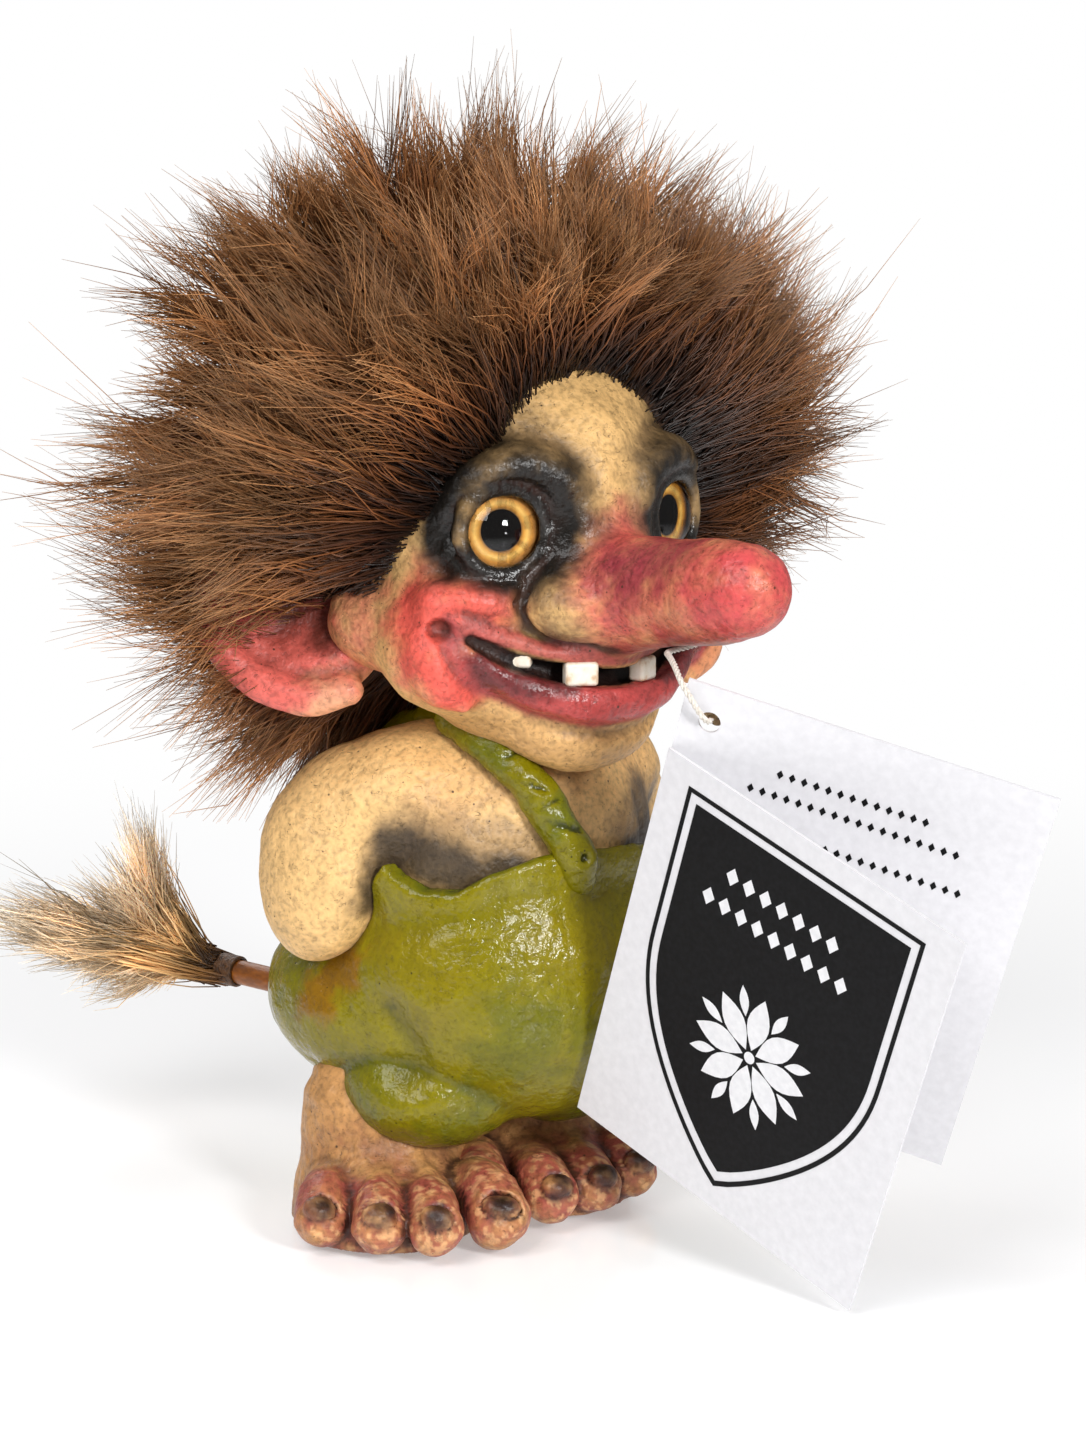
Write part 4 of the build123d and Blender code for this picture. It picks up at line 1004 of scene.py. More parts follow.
for side, word in ((-1, "right"), (1, "left")):
    middle, turn, axes = ear_frame(side)

    def at(reach, forward, rise):
        return middle + axes[:, 0] * side * reach - axes[:, 1] * forward + axes[:, 2] * rise

    ear = Clay(middle - 17.5, middle + 17.5, 0.38)
    ear.add(egg(middle, EAR_SIZES, turn))
    ear.add(bar([
        at(-8, 1.0, 9.0), at(-1, 1.6, 11.2), at(5.4, 1.9, 10.2), at(10.2, 2.0, 5.6), at(11.5, 2.0, -0.5),
        at(9.0, 1.9, -7.2), at(3.0, 1.8, -10.9), at(-3.8, 2.0, -11.2), at(-8.6, 2.2, -8.8),
    ], [1.6, 1.9, 2.0, 2.0, 2.0, 2.1, 2.3, 2.4, 2.0]), 1.4)
    ear.cut(egg(at(1.2, 4.6, 0.4), (18.0, 8.5, 17.0), turn), 1.6)
    fold = [at(-9, 2.2, 3.5), at(-3.5, 0.8, 4.8), at(2.0, 0.2, 2.8), at(3.6, 0.2, -2.4)]
    ear.add(bar(fold, [1.6, 1.2, 1.0, 0.8]), 1.6)
    ear.cut(egg(*CRANIUM))
    ear_piece, points = ear.piece(f"{word}_ear_skin", skin, ((5.0, 0.25), (1.8, 0.10)))
    paint = Paint(points, "#e06a5e")
    # Painted shade in the hollow, darkest under the hair that hangs over it
    paint.spray("#a8483c", [at(0, 1.5, 0), at(-4, 1.5, 3)], [7.5, 6], 0.9, 0.3)
    paint.spray("#5c2a20", [at(-3, 0.5, 4), at(-4, 0.5, -1), at(2, 0.5, 1)], 5.2, 0.85, 0.3)
    paint.spray("#e2b184", [at(-8, 2, -11), at(-12, 1, -8)], 5.0, 0.7, 0.3)
    # Painted shade in the creases
    paint.paint_crease_shade("#5a2a1e", ear.bend(points), 0.8, 0.5)
    paint.store(ear_piece, 0.4)
    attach(ear_piece, "figure")
    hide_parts(f"{word}_ear")


# Body: one latex casting of chest, shoulders and two stub arms, with painted
# shade under the arms, under the head and where it enters the dungarees.
TORSO = ((0, -2, 50), (42, 34, 36))
body = Clay((-35, -22, 29), (35, 18, 74), 0.48)
body.add(egg(*TORSO))
body.add(bar([(*NECK_MIDDLE, 60), (*NECK_MIDDLE, 73)], NECK_RADIUS), 3.0)
for side in (-1, 1):
    body.add(egg((side * 22.6, 4.5, 48.5), (16.8, 18.5, 27), (0, -side * 14, 0)), 3.2)
    body.add(egg((side * 17, -1, 58), (17, 17, 12), (0, side * 30, 0)), 4)
    under_arm = [(side * 19.6, -11.6, 54.5), (side * 20.6, -8.6, 49.5), (side * 20.8, -6.5, 44.0)]
    body.cut(bar(under_arm, [0.3, 0.8, 0.9]), 2.4)
body.cut(bar([(11.6, -16.6, 60.0), (13.2, -15.6, 54.0), (13.6, -15.4, 47.0)], [0.3, 0.6, 0.5]), 1.6)
body.cut(upright_hole(NECK_MIDDLE, NECK_RADIUS - NECK_WALL))
body_piece, points = body.piece("body_skin", skin, ((7.0, 0.30), (2.6, 0.12), (1.1, 0.05)))
UNDERARM_SHADE_EDGE = [(20, -9, 53), (16, -13.5, 52.5), (9, -17.5, 51.5)]
UNDERARM_SHADE = [
    (22.0, -5, 44.5), (20.6, -8.0, 50.5), (17.0, -12.6, 49.0), (13.5, -15.6, 47.8), (9.5, -17.6, 48.6),
]
paint = Paint(points, "#e0b679")
# Painted shade under the jaw, on both shoulders
paint.spray("#d9a76c", [(-16, -12, 60), (16, -12, 60)], 7, 0.5)
# Painted shade under the arms, along the dungarees' rim
for flip in reversed(BOTH_SIDES):
    paint.line("#7a6248", flip(UNDERARM_SHADE_EDGE), [5.0, 5.0, 4.0], 0.6, 0.25)
    paint.line("#2c251e", flip(UNDERARM_SHADE), [3.4, 4.4, 4.2, 3.6, 2.4], 0.9)
# Painted shade in the crease between the chest and the left arm
paint.spray("#4a4036", [(14.5, -14.8, 55), (15.5, -14, 50)], 4.4, 0.75, 0.3)
# Painted shadow of the chin on the chest
paint.spray("#b98d60", [(0, -17, 62), (-8, -15, 62)], 5.0, 0.6, 0.3)
# Painted shade in the creases
paint.paint_crease_shade("#3a2a1c", body.bend(points), 0.5, 0.6)
paint.store(body_piece, 0.35)
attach(body_piece, "figure")
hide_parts("torso", "left_arm", "right_arm")


# Dungarees: moulded on the body and varnished, with a bevelled neckline that
# dips under each arm, a round seat and belly, and rolled trouser legs.
cloth_paint = painted_latex("cloth_paint", 0.42, 0.12, "#2c2a08", 0.3, 1.6, 0.16, 0.38)
RIM_PLACES = (-60, -21, -17.5, -14.5, -11, -8.2, -7, -5.4, -1, 4, 9, 14, 60)
RIM_LEVELS = (51, 51, 48.4, 46, 46.2, 48.2, 49.6, 47.6, 40.5, 37.5, 39.5, 43, 43)
TROUSER_LEGS = (-11.44, 7.91)


def below_rim(grid):
    """How far a point is below the neckline; the distance is across its slope."""
    level = np.interp(grid[..., 1], RIM_PLACES, RIM_LEVELS).astype(np.float32)
    return (level - grid[..., 2]) * 0.75


dungarees = Clay((-29, -28, 3), (29, 33, 62), 0.46)
dungarees.add(egg((0, 7.5, 28), (52, 46, 30)))
dungarees.add(egg((0, -4.5, 33), (46, 40, 41)), 2.6)
dungarees.add(egg((0, -2, 50), (47.2, 39.2, 41.2)), 2.0)
dungarees.cut((below_rim, *EVERYWHERE), 1.3)
for x in TROUSER_LEGS:
    dungarees.add(egg((x, -2.6, 18.6), (23.6, 24.5, 16.5)), 1.0)
for side in (-1, 1):
    dungarees.cut(egg((side * 24, 4.5, 48.5), (18.4, 18.9, 27.4), (0, -side * 14, 0)), 0.7)
    side_fold = [(side * 21.5, -9.5, 22.5), (side * 21.5, -10.0, 26), (side * 22.6, -8.5, 30)]
    dungarees.cut(bar(side_fold, [0.9, 0.6, 0.1]), 5.0)
dungarees.cut(egg(*TORSO))
cloth_lumps = ((8.0, 0.38), (3.0, 0.16), (1.3, 0.07))
dungarees_piece, points = dungarees.piece("dungarees_cloth", cloth_paint, cloth_lumps)
paint = Paint(points, "#7c7200")
paint.spray("#4c5606", [(-24, 8, 36), (24, 8, 36), (-10, -22, 28), (0, 28, 30)], 8, 0.5, 0.5)
paint.spray("#807006", [(-4, -24, 40), (-18, -10, 36), (10, -22, 34)], 8, 0.5, 0.5)
paint.spray("#8a4f0a", [(-23.5, 0.5, 35.0), (-24.5, 3.0, 31.5)], 4.6, 0.6, 0.5)
paint.spray("#4a560f", [(-14, -12, 14), (8, -12, 14), (-20, -2, 18)], 6, 0.5, 0.5)
rim_face = np.clip((points[:, 2] - np.interp(points[:, 1], RIM_PLACES, RIM_LEVELS) + 0.9) / 0.8, 0, 1)
paint.lay("#3f4d12", 0.8 * rim_face * (0.75 + 0.25 * grain(points, 1.5, 5)))
# Painted shade in the folds and creases
paint.paint_crease_shade("#2f3606", dungarees.bend(points), 0.5, 0.6)
paint.store(dungarees_piece, 0.75 + 0.2 * grain(points, 5, 2))
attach(dungarees_piece, "figure")
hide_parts("dungarees")


# Shoulder strap: a thick soft strap over the right shoulder only, modelled
# with the dungarees. Its front end is an oval boss with a ringed dimple.
def on_torso(x, z, lift):
    """A point of the torso's front, lifted off it."""
    (cx, cy, cz), (wx, wy, wz) = TORSO
    inside = max(0.0, 1 - ((x - cx) / (wx / 2)) ** 2 - ((z - cz) / (wz / 2)) ** 2)
    point = np.array((x, cy - wy / 2 * math.sqrt(inside), z))
    out = (point - np.array(TORSO[0])) / (np.array(TORSO[1]) / 2) ** 2
    return point + out / np.linalg.norm(out) * lift


strap = Clay((-19, -25, 42), (4, 23, 72), 0.38)
over_chest = [
    on_torso(-1.4, 47.4, 2.0), on_torso(-2.6, 50.4, 2.2), on_torso(-4.8, 54.4, 1.9),
    on_torso(-6.9, 58.6, 1.9), on_torso(-9.0, 62.4, 1.9), on_torso(-10.4, 64.8, 2.2),
]
strap.add(bar(over_chest, [2.3, 2.8, 2.6, 2.6, 2.5, 2.3]))
DOWN_BACK = [(-9.4, -6, 66.4), (-9.6, 3, 64.8), (-10.6, 9.5, 60.6), (-11.0, 13.4, 54.6), (-10.8, 15.6, 47.5)]
strap.add(bar(over_chest[-1:] + DOWN_BACK, [2.3, 1.9, 1.6, 1.9, 2.2, 2.1]), 0.6)
boss = on_torso(-2.6, 50.2, 4.2)
boss_out = (boss - np.array(TORSO[0])) / np.linalg.norm(boss - np.array(TORSO[0]))
strap.add(hoop(boss, boss_out, 1.15, 0.55), 0.6)
strap.cut(egg(boss + boss_out * 0.5, (1.3, 1.3, 1.3)), 0.3)
# Pressed creases across the strap: how far up it each lies, and how much it slopes
STRAP_FOOT, STRAP_RUN = (-2.6, 50.2), (-10.0, 13.5)
for place, lean in ((0.25, 0.7), (0.42, -0.6), (0.58, 0.8), (0.75, -0.5)):
    x, z = STRAP_FOOT[0] + STRAP_RUN[0] * place, STRAP_FOOT[1] + STRAP_RUN[1] * place
    pressed = [on_torso(x - 2.2, z + lean, 4.0), on_torso(x + 0.4, z, 4.5), on_torso(x + 2.4, z - lean, 4.0)]
    strap.cut(bar(pressed, [0.2, 0.35, 0.2]), 0.9)
strap_piece, points = strap.piece("strap_cloth", cloth_paint, ((2.6, 0.30), (1.1, 0.12)))
paint = Paint(points, "#766e02")
# Painted shade on the strap's upper part, under the jaw and chin
paint.spray("#566012", [on_torso(-9, 62, 3), on_torso(-4, 55, 3)], 3.4, 0.6, 0.5)
# Painted shade in the pressed creases
paint.paint_crease_shade("#22280a", strap.bend(points), 0.8, 0.8)
paint.store(strap_piece, 0.75)
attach(strap_piece, "figure")
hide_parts("shoulder_strap", "strap_button")


# Feet: two broad bare feet with four toes each, cast with the lower legs, with
# painted highlights in peach on the ridges and painted shade in the cracks.
FEET = {"right": (-1, (-14.0, 4.5, 0.0), -33.0), "left": (1, (8.5, 4.5, 0.0), -13.0)}
FOOT_SIZES, TOE_WIDTH, BIG_TOE_WIDTH = (25.0, 32.0, 23.0), 7.4, 8.8
TOE_REACHES, TOE_SIDES = (-0.26, -0.03, 0.06, -0.16), (0.68, 0.12, -0.42, -1.05)
TOE_REACH, BIG_TOE, NAIL_SLOPE = 16.6, 3, 25
for word, (side, ankle, heading) in FEET.items():
    spin = Matrix.Rotation(math.radians(heading), 3, "Z")
    x, y, _ = ankle

    def on_foot(across, back, rise):
        return np.array(Vector(ankle) + spin @ Vector((across, back, rise)))

    foot = Clay((x - 24, y - 29, -1.5), (x + 22, y + 16, 26), 0.39)
    foot.add(bar([(x, y, 4), (x, y, 14), (x * 0.86, y, 20.5), (x * 0.8, y, 27)], [10.8, 10.5, 8.4, 7.0]))
    foot.add(egg(on_foot(0, -3.5, 0), FOOT_SIZES, (0, 0, heading)), 3.0)
    toes, nails = [], []
    for place, (reach_share, side_share) in enumerate(zip(TOE_REACHES, TOE_SIDES)):
        width = BIG_TOE_WIDTH if place == BIG_TOE else TOE_WIDTH
        across = side * side_share * FOOT_SIZES[0] / 2
        forward = TOE_REACH * (1 + reach_share)
        toe_line = [
            on_foot(across * 0.86, -forward + 4.4, 5.6), on_foot(across * 0.97, -forward - 0.2, 5.4),
            on_foot(across * 1.03, -forward - 3.6, 3.9),
        ]
        foot.add(bar(toe_line, [width * 0.44, width * 0.46, width * 0.47]), 0.9)
        toes.append(on_foot(across, -forward - 2, 4.5))
        nail = on_foot(across * 1.05, -forward - 6.2, 6.2)
        nails.append(nail)
        foot.cut(egg(nail, (width * 0.66, 4.2, 3.4), (NAIL_SLOPE, 0, heading)), 0.35)
        nail_plate = nail + np.array((0, 0.25, -0.35))
        foot.add(egg(nail_plate, (width * 0.56, 3.4, 3.0), (NAIL_SLOPE, 0, heading)), 0.2)
    foot.keep(half_space((0, 0, 0), (0, 0, -1)), 0.5)
    foot_piece, points = foot.piece(f"{word}_foot_skin", skin, ((3.0, 0.26), (1.3, 0.16)))
    # The sole is flat on the table
    points[:, 2] = np.maximum(points[:, 2], 0)
    foot_piece.data.vertices.foreach_set("co", (points * MM).astype(np.float32).ravel())
    bend = foot.bend(points, 2)
    paint = Paint(points, "#bf8c55")
    paint.spray("#8e5a3e", [on_foot(0, -10, 6), on_foot(8, -9, 4), on_foot(-8, -9, 4)], 8, 0.65, 0.5)
    paint.spray("#9c4640", toes, 6.8, 0.9, 0.35)
    # Painted highlights in peach on the ridges at the front of the foot
    front_ridge_highlight = np.clip(bend / 0.5, 0, 1) * (grain(points, 0.8, 4) > 0.18) * (points[:, 1] < -6)
    paint.lay("#e6b27c", 0.6 * front_ridge_highlight)
    paint.spray("#2a1713", nails, 2.3, 1.0, 0.25)
    # Painted shade in the cracks
    paint.paint_crease_shade("#2a1812", bend, 0.9, 0.85)
    # Painted shade low on the foot, where it meets the table
    paint.lay("#4d2f1e", 0.5 * np.clip(1 - points[:, 2] / 2.2, 0, 1))
    paint.store(foot_piece, 0.45)
    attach(foot_piece, "figure")
    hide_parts(f"{word}_leg")


# Wig: long synthetic fur on a hide cap. Thousands of tapering strands grow
# from the cap in locks that fan out round the face, over a dark solid of
# painted shade deep in the mane. A tree of nodes gives every strand its thickness.
def strand_tree(name, material):
    """A node tree that makes three-sided tapering strands from the edges of a mesh."""
    tree = bpy.data.node_groups.new(name, "GeometryNodeTree")
    tree.interface.new_socket("Geometry", in_out="INPUT", socket_type="NodeSocketGeometry")
    tree.interface.new_socket("Geometry", in_out="OUTPUT", socket_type="NodeSocketGeometry")
    thickness = tree.interface.new_socket("Thickness", in_out="INPUT", socket_type="NodeSocketFloat")
    start = tree.nodes.new("NodeGroupInput")
    end = tree.nodes.new("NodeGroupOutput")
    lines = tree.nodes.new("GeometryNodeMeshToCurve")
    thick = tree.nodes.new("GeometryNodeInputNamedAttribute")
    thick.data_type = "FLOAT"
    thick.inputs["Name"].default_value = "thick"
    scaled = tree.nodes.new("ShaderNodeMath")
    scaled.operation = "MULTIPLY"
    profile = tree.nodes.new("GeometryNodeCurvePrimitiveCircle")
    profile.inputs["Resolution"].default_value = 3
    profile.inputs["Radius"].default_value = 1.0
    skin_over = tree.nodes.new("GeometryNodeCurveToMesh")
    skin_over.inputs["Fill Caps"].default_value = True
    smooth = tree.nodes.new("GeometryNodeSetShadeSmooth")
    real = tree.nodes.new("GeometryNodeRealizeInstances")
    paint = tree.nodes.new("GeometryNodeSetMaterial")
    paint.inputs["Material"].default_value = material
    tree.links.new(start.outputs["Geometry"], lines.inputs["Mesh"])
    tree.links.new(lines.outputs["Curve"], skin_over.inputs["Curve"])
    tree.links.new(thick.outputs["Attribute"], scaled.inputs[0])
    tree.links.new(start.outputs["Thickness"], scaled.inputs[1])
    tree.links.new(scaled.outputs[0], skin_over.inputs["Scale"])
    tree.links.new(profile.outputs["Curve"], skin_over.inputs["Profile Curve"])
    tree.links.new(skin_over.outputs["Mesh"], smooth.inputs["Geometry"])
    tree.links.new(smooth.outputs["Geometry"], real.inputs["Geometry"])
    tree.links.new(real.outputs["Geometry"], paint.inputs["Geometry"])
    tree.links.new(paint.outputs["Geometry"], end.inputs["Geometry"])
    return tree, thickness.identifier


def grow(name, lines, radius, taper, shade, tree, material):
    """One piece of fur: lines by strand, point and axis in mm, taper by strand and point, shade by strand."""
    count, knots = lines.shape[:2]
    numbers = np.arange(count * knots).reshape(count, knots)
    edges = np.stack([numbers[:, :-1], numbers[:, 1:]], -1).reshape(-1, 2)
    seedling = add_piece(f"{name}_lines", lines.reshape(-1, 3), [], None, edges.tolist())
    along = np.broadcast_to(np.linspace(0, 1, knots), (count, knots))
    shades = np.repeat(shade[:, None], knots, 1)
    for layer_name, values in (("thick", taper), ("along", along), ("shade", shades)):
        layer = seedling.data.attributes.new(layer_name, "FLOAT", "POINT")
        layer.data.foreach_set("value", np.ascontiguousarray(values, np.float32).ravel())
    group, thickness_socket = tree
    modifier = seedling.modifiers.new("strands", "NODES")
    modifier.node_group = group
    modifier[thickness_socket] = radius * MM
    mesh = evaluated_mesh(seedling)
    mesh.name = name
    piece = bpy.data.objects.new(name, mesh)
    scene.collection.objects.link(piece)
    bpy.data.objects.remove(seedling)
    if not mesh.materials:
        mesh.materials.append(material)
    return piece


def fur_material(name, stops, rough):
    """Fur: colour changes from root to tip, dark near the root as painted shade in the depth of the fur, and
    each lock has a tone of its own.
    """
    material, tree, shader = new_material(name, rough)
    along = add_attribute(tree, "along", "Fac")
    ramp = add_ramp(tree, along, [(place, ink(code)) for place, code in stops])
    tone = add_ramp(tree, add_attribute(tree, "shade", "Fac"), [(0.0, 0.28), (0.5, 0.82), (1.0, 2.0)])
    mottle = add_ramp(tree, add_noise(tree, 120, 3.0), [(0.35, 0.75), (0.68, 1.2)])
    colour = mix_colours(tree, 1.0, mix_colours(tree, 1.0, ramp, tone, "MULTIPLY"), mottle, "MULTIPLY")
    tree.links.new(colour, shader.inputs["Base Color"])
    shader.inputs["Specular IOR Level"].default_value = 0.45
    return material


# Some hairs stand out past their lock
STRAY_SHARE, STRAY_REACH = 0.03, 1.22


def locks(random, roots, tips, starts, count, spread, gather, wave, droop, knots=6):
    """Strands in locks: each follows its lock's bow, from near the lock's root to near its tip."""
    lines = []
    share = np.linspace(0, 1, knots)[None, :, None]
    for root, tip, start in zip(roots, tips, starts):
        reach = np.linalg.norm(tip - root)
        own = root + random.normal(0, spread, (count, 3))
        length = random.uniform(0.62, 1.0, (count, 1)) ** 0.7
        length = length * np.where(random.random((count, 1)) < STRAY_SHARE, STRAY_REACH, 1.0)
        end = root + (tip - root) * length + random.normal(0, gather, (count, 3)) * reach
        middle = own + start * reach * 0.42 + random.normal(0, 0.035, (count, 3)) * reach
        line = own[:, None] * (1 - share) ** 2 + middle[:, None] * 2 * share * (1 - share)
        line = line + end[:, None] * share**2
        swing = random.normal(0, 1, (1, 1, 3)) * wave * reach
        own_swing = random.normal(0, 1, (count, 1, 3)) * wave * 0.45 * reach
        phase = random.uniform(0, 6.3)
        line = line + (swing + own_swing) * np.sin(share * random.uniform(4, 8) + phase) * share * 1.2
        line[:, :, 2] -= droop * reach * share[..., 0] ** 2.2
        lines.append(line)
    return np.concatenate(lines)


# The hair plane: a point on it, the way behind it, and its own axes. The mane is an egg behind it.
HAIR_POINT, HAIR_BACK = np.array((0.0, -22.0, 110.0)), np.array((0.0, 0.8, 0.6))
HAIR_ACROSS, HAIR_UP = np.array((1.0, 0.0, 0.0)), np.array((0.0, -0.6, 0.8))
MANE_MIDDLE, MANE_HALF = np.array((0.0, 2.0, 98.5)), np.array((57.0, 43.0, 47.0))
# How far the hairline runs behind the hair plane, from the nape over the temples to the forehead
HAIRLINE_RISES = (-1, 0, 0.34, 0.75, 0.9, 0.97, 1)
HAIRLINE_DEPTHS = (-1.6, -2.6, -2.6, -1.4, 1.6, 3.4, 3.7)
# From root to tip: the near-black at the roots is painted shade deep in the mane
WIG_COLOURS = [(0.0, "#1a0c05"), (0.2, "#43240f"), (0.5, "#7a4a28"), (0.85, "#9c693e"), (1.0, "#b98a5e")]
wig_fur = fur_material("wig_fur", WIG_COLOURS, 0.42)
wig_tree = strand_tree("wig_strands", wig_fur)
random = np.random.default_rng(11)


def fan(turn, lean):
    """The direction at an angle round the hair plane's axis and away from it."""
    flat = np.cos(turn)[:, None] * HAIR_ACROSS + np.sin(turn)[:, None] * HAIR_UP
    return np.sin(lean)[:, None] * flat + np.cos(lean)[:, None] * HAIR_BACK


def mane_tips(turn, lean, share):
    """Points at a share of the way from the mane's middle to its outside."""
    way = fan(turn, lean)
    reach = 1 / np.linalg.norm(way / MANE_HALF, axis=1)
    return MANE_MIDDLE + way * (reach * share)[:, None]


def cap_roots(turn, depth):
    """Points on the hide cap, at an angle round it and a depth behind the hair plane in mm."""
    middle, half = np.array(CRANIUM[0], float), np.array(CRANIUM[1], float) / 2 + 1.0
    flat = np.cos(turn)[:, None] * HAIR_ACROSS + np.sin(turn)[:, None] * HAIR_UP
    foot = middle + HAIR_BACK * ((HAIR_POINT - middle) @ HAIR_BACK + depth)[:, None]
    a = np.sum((flat / half) ** 2, 1)
    b = 2 * np.sum((foot - middle) * flat / half**2, 1)
    c = np.sum(((foot - middle) / half) ** 2, 1) - 1
    return foot + flat * ((np.sqrt(np.maximum(b * b - 4 * a * c, 0)) - b) / (2 * a))[:, None]


# Locks round the face: their roots stand along the cap's edge
FRONT_LOCKS, BACK_LOCKS, LOCK_STRANDS = 620, 400, 32
turn = np.concatenate([
    np.radians(random.uniform(-60, 262, FRONT_LOCKS)),
    random.uniform(0, 2 * math.pi, BACK_LOCKS),
])
lean = np.concatenate([
    np.radians(random.triangular(66, 102, 109, FRONT_LOCKS)),
    np.arccos(random.uniform(0.12, 1.0, BACK_LOCKS) ** 0.8),
])
hairline = np.interp(np.sin(turn), HAIRLINE_RISES, HAIRLINE_DEPTHS)
lean[:FRONT_LOCKS] -= 0.5 * np.clip(-0.25 - turn[:FRONT_LOCKS], 0, 0.9)
share = random.triangular(0.78, 0.95, 1.10, len(turn))
depth = np.concatenate([
    random.triangular(-0.4, 0.3, 8.0, FRONT_LOCKS),
    random.uniform(6.0, 17.0, BACK_LOCKS),
])
depth[:FRONT_LOCKS] += hairline[:FRONT_LOCKS]
roots = cap_roots(turn, depth)
roots[FRONT_LOCKS:] = mane_tips(turn[FRONT_LOCKS:], lean[FRONT_LOCKS:], 0.50)
tips = mane_tips(turn + random.normal(0, 0.10, len(turn)), lean, share)
tips[:, 2] -= 9 * np.clip(-np.sin(turn) - 0.35, 0, 1)
starts = fan(turn + random.normal(0, 0.16, len(turn)), np.clip(lean - 0.12, 0.02, 1.75))
strands = locks(random, roots, tips, starts, LOCK_STRANDS, 1.3, 0.055, 0.045, 0.05)
lock_tone = np.repeat(np.clip(random.normal(0.5, 0.17, len(turn)), 0, 1), LOCK_STRANDS)
tone = np.clip(lock_tone + random.normal(0, 0.13, len(strands)), 0, 1)
lock_turn = np.repeat(np.degrees(turn), LOCK_STRANDS)
front_place = np.repeat(np.arange(len(turn)) < FRONT_LOCKS, LOCK_STRANDS)


def behind_ears(lines):
    """Strands pushed back where they would run through an ear."""
    for side in (-1, 1):
        middle, _, axes = ear_frame(side)
        local = (lines - middle) @ axes
        forward = -local[..., 1]
        over_ear = (local[..., 0] / 14.0) ** 2 + (local[..., 2] / 13.5) ** 2 < 1
        below_top = local[..., 2] < 4.5 - 0.3 * local[..., 0]
        push = np.clip(forward + 4.2, 0, 16) * over_ear * (forward < 12) * below_top
        lines = lines + push[..., None] * axes[:, 1]
    return lines


strands = behind_ears(strands)
# Nothing grows through the face: strands stay behind a plane just before the hairline
ahead = (strands - HAIR_POINT) @ HAIR_BACK
from_middle = np.linalg.norm(strands - np.array((0, -8, 90)), axis=-1)
limit = np.repeat(hairline, LOCK_STRANDS)[:, None] - 0.8 - 0.14 * np.clip(from_middle - 20, 0, 40)
strands = strands + np.clip(limit - ahead, 0, 60)[..., None] * HAIR_BACK
# Nothing grows into the shoulders
strands[..., 2] = np.maximum(strands[..., 2], 44 + 0.25 * np.abs(strands[..., 0]))
STRAND_RADIUS = 0.118
taper = np.array((1.0, 1.05, 0.95, 0.8, 0.55, 0.18))
strand_taper = taper * random.uniform(0.75, 1.25, (len(strands), 1))
# Each piece: whether it is of the front, its angles round the face in degrees, and the CAD fur it stands for
PLACES = {
    "fur_left_low": (True, -60, 20, ("fur_left",)),
    "fur_left_top": (True, 20, 70, ("fur_left", "fur_fringe")),
    "fur_top": (True, 70, 112, ("fur_fringe",)),
    "fur_right_top": (True, 112, 160, ("fur_right", "fur_fringe")),
    "fur_right_middle": (True, 160, 210, ("fur_right",)),
    "fur_right_low": (True, 210, 263, ("fur_right",)),
    "fur_back_top": (False, 45, 135, ("fur_crown",)),
    "fur_back_right": (False, 135, 250, ("fur_back", "fur_right")),
    "fur_back_left": (False, 250, 405, ("fur_back", "fur_left")),
}
for name, (in_front, first, last, stands_for) in PLACES.items():
    angle = lock_turn if in_front else np.where(lock_turn < 45, lock_turn + 360, lock_turn)
    chosen = (front_place == in_front) & (angle >= first) & (angle < last)
    piece = grow(name, strands[chosen], STRAND_RADIUS, strand_taper[chosen], tone[chosen], wig_tree, wig_fur)
    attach(piece, "figure")
    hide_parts(*stands_for)

# Painted shade inside the mane: a dark solid deep in it, where no light passes between the strands
MANE_SHADE_SHARE = 0.56
MANE_SHADE_COLOURS = [(0.35, "#0e0703"), (0.7, "#3a2213")]
mane_shade_paint = mottled_material("mane_shade_paint", 0.8, 700, MANE_SHADE_COLOURS, 4.0, (1, 1, 0.25), 0.6)[0]
mane_shade = Clay((-40, -32, 58), (40, 32, 132), 0.8)
mane_shade.add(egg((0, 5, 99), MANE_HALF * 2 * MANE_SHADE_SHARE))
mane_shade.keep(half_space(HAIR_POINT + HAIR_BACK * 5.0, -HAIR_BACK), 3.0)
for side in (-1, 1):
    middle, turn, _ = ear_frame(side)
    mane_shade.cut(egg(middle - np.array((0, 2, 0)), (30, 13, 27), turn), 1.0)
mane_shade.cut(egg(CRANIUM[0], np.array(CRANIUM[1]) + 1.6))
mane_shade.cut(egg((0, -2, 50), (44, 38, 38)), 0.5)
mane_shade_piece = mane_shade.piece("mane_shade_fill", mane_shade_paint, ((6.0, 2.2), (2.5, 1.0)))[0]
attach(mane_shade_piece, "figure")
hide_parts("fur_back", "fur_crown")


# Hide cap: the backing that the fur grows on, dark and woven. It fits the
# cranium closely, and its edge follows the hairline.
def behind_hairline(grid):
    """How far a point is behind the hairline; below zero before it."""
    local = grid - np.array(CRANIUM[0], np.float32)
    rise = local @ HAIR_UP
    rise = rise / np.maximum(np.hypot(rise, local[..., 0]), 0.1)
    return (grid - HAIR_POINT) @ HAIR_BACK - np.interp(rise, HAIRLINE_RISES, HAIRLINE_DEPTHS)


hide = mottled_material("wig_backing", 0.85, 1200, [(0.3, "#2a1a10"), (0.7, "#4a3220")])[0]
cap = Clay((-26, -30, 62), (26, 18, 122), 0.5)
cap.add(egg(CRANIUM[0], np.array(CRANIUM[1]) + 1.8))
cap.cut((behind_hairline, *EVERYWHERE), 0.4)
cap.cut(egg(CRANIUM[0], np.array(CRANIUM[1]) - 1.0))
cap.cut(half_space((0, 0, 70), (0, 0, 1)))
cap_piece = cap.piece("wig_cap", hide)[0]
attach(cap_piece, "figure")
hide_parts("wig_hide")


# Filling: the loose stuffing inside the hollow head and body. It keeps the
# shapes of the CAD, and nothing of it shows.
hidden_filling = mottled_material("hidden_filling", 0.9, 500, [(0.3, "#8f8574"), (0.7, "#b3a994")])[0]
set_material(hidden_filling, "body_core", "head_core")


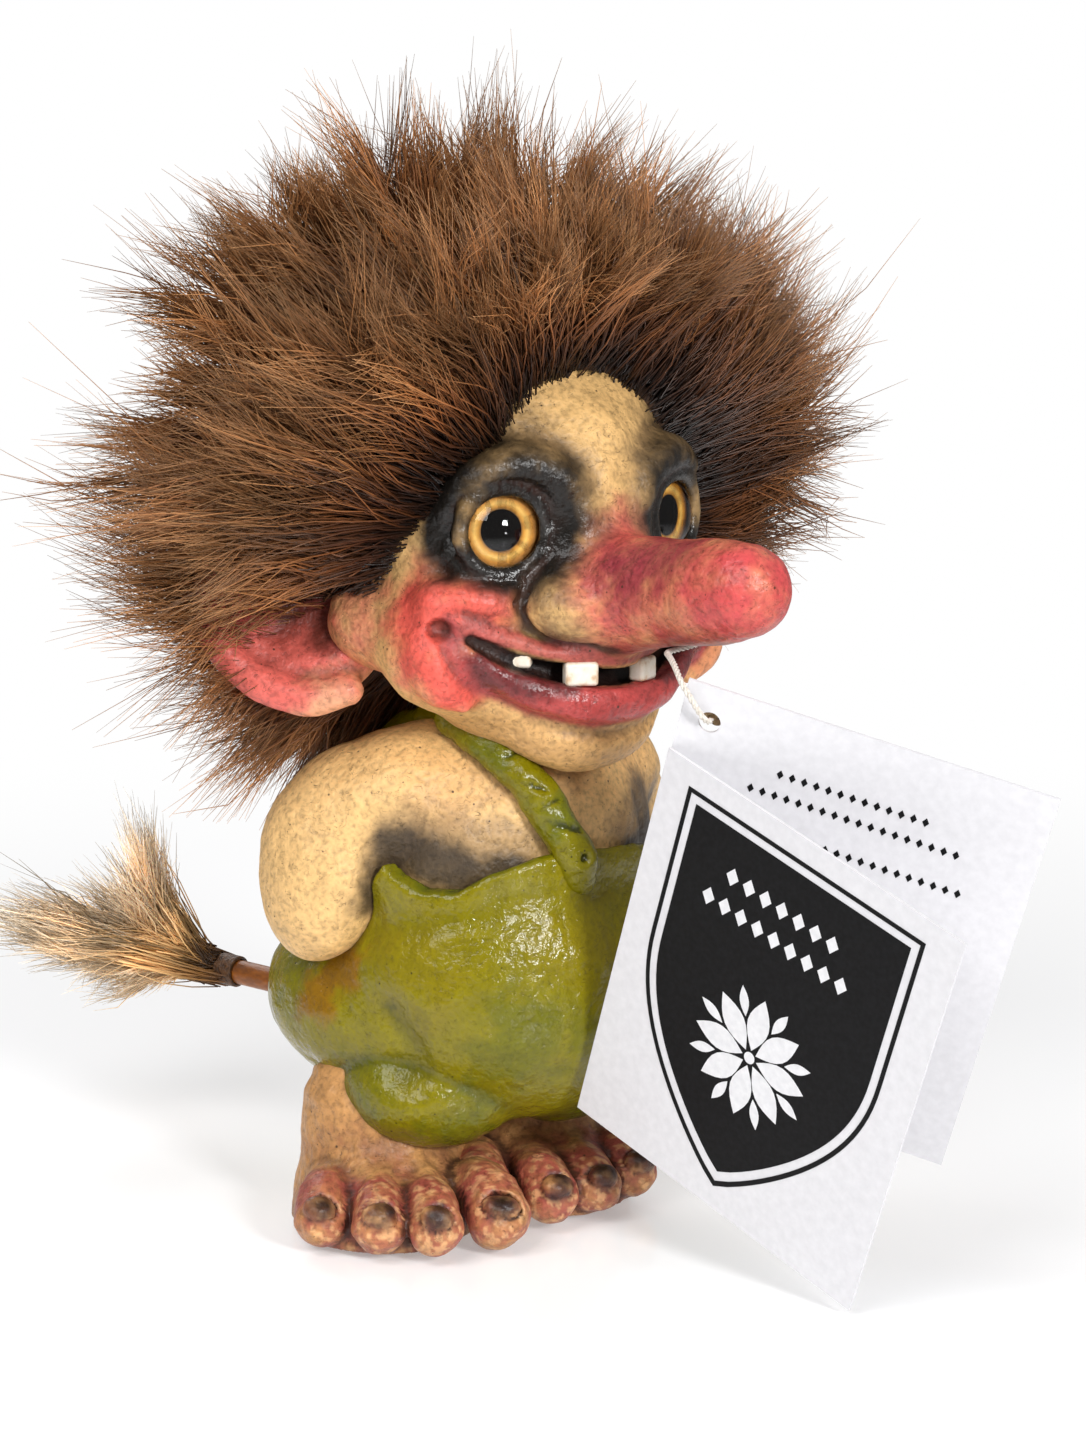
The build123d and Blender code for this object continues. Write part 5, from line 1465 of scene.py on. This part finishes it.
# Tail: a flat-ended leather thong bound with waxed thread, and a tuft of the
# same fur, paler, with one long lock and one that stands up.
LEATHER_COLOURS = [(0.3, "#5e3006"), (0.55, "#8a4c0c"), (0.8, "#a8641a")]
THREAD_COLOURS = [(0.3, "#2a180c"), (0.7, "#6b4522")]
# From root to tip: the dark at the roots is painted shade where the strands crowd together
TUFT_COLOURS = [(0.0, "#4a2e14"), (0.12, "#8a602e"), (0.4, "#e0b67c"), (0.8, "#ffdcae"), (1.0, "#fff0d8")]
leather = mottled_material("thong_leather", 0.4, 900, LEATHER_COLOURS, 5.0, (1, 0.35, 1), 0.25)[0]
set_material(leather, "tail_plug", "tail_thong")
thread = mottled_material("binding_thread", 0.5, 1600, THREAD_COLOURS, 3.0, (1, 1.6, 1), 0.3)[0]
set_material(thread, "tail_binding")

TUFT_ROOT, TAIL_WAY = np.array((-12.19, 50.5, 23.67)), np.array((-0.302, 0.952, 0.052))
tuft_fur = fur_material("tuft_fur", TUFT_COLOURS, 0.42)
tuft_tree = strand_tree("tuft_strands", tuft_fur)
random = np.random.default_rng(23)
# Each bundle: where its tips are, how many locks it has, and how wide it spreads
TUFT_LOCKS = [
    ((-41.0, 61.0, 36.0), 16, 2.6), ((-35.0, 62.0, 33.0), 12, 3.4), ((-21.0, 55.0, 44.5), 14, 2.6),
    ((-25.0, 57.5, 40.0), 12, 3.4), ((-22.0, 66.0, 22.5), 12, 3.8), ((-30.0, 64.5, 26.0), 14, 3.8),
    ((-17.0, 66.0, 29.0), 12, 4.2), ((-24.0, 69.0, 29.0), 12, 4.0), ((-20.5, 58.0, 21.5), 8, 3.0),
    ((-12.0, 62.0, 25.5), 6, 3.2), ((-27.0, 62.0, 35.0), 14, 4.2),
]
tuft_tips, tuft_roots = [], []
for tip, number, width in TUFT_LOCKS:
    for _ in range(number):
        tuft_tips.append(np.array(tip) + random.normal(0, width * 0.5, 3))
        tuft_roots.append(TUFT_ROOT + random.normal(0, 0.7, 3) - TAIL_WAY * 2.4)
tuft_tips, tuft_roots = np.array(tuft_tips), np.array(tuft_roots)
away = tuft_tips - tuft_roots
away = away / np.linalg.norm(away, axis=1, keepdims=True)
tuft_starts = TAIL_WAY * 0.75 + away * 0.45 + random.normal(0, 0.12, away.shape)
TUFT_STRANDS, TUFT_STRAND_RADIUS = 30, 0.115
tuft_lines = locks(random, tuft_roots, tuft_tips, tuft_starts, TUFT_STRANDS, 0.45, 0.045, 0.05, 0.05)
tuft_tone = np.repeat(np.clip(random.normal(0.5, 0.22, len(tuft_tips)), 0, 1), TUFT_STRANDS)
tuft_tone = np.clip(tuft_tone + random.normal(0, 0.13, len(tuft_lines)), 0, 1)
tuft_taper = taper * random.uniform(0.7, 1.25, (len(tuft_lines), 1))
tuft = grow("tail_tuft_fur", tuft_lines, TUFT_STRAND_RADIUS, tuft_taper, tuft_tone, tuft_tree, tuft_fur)
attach(tuft, "tail")
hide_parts("tail_tuft")
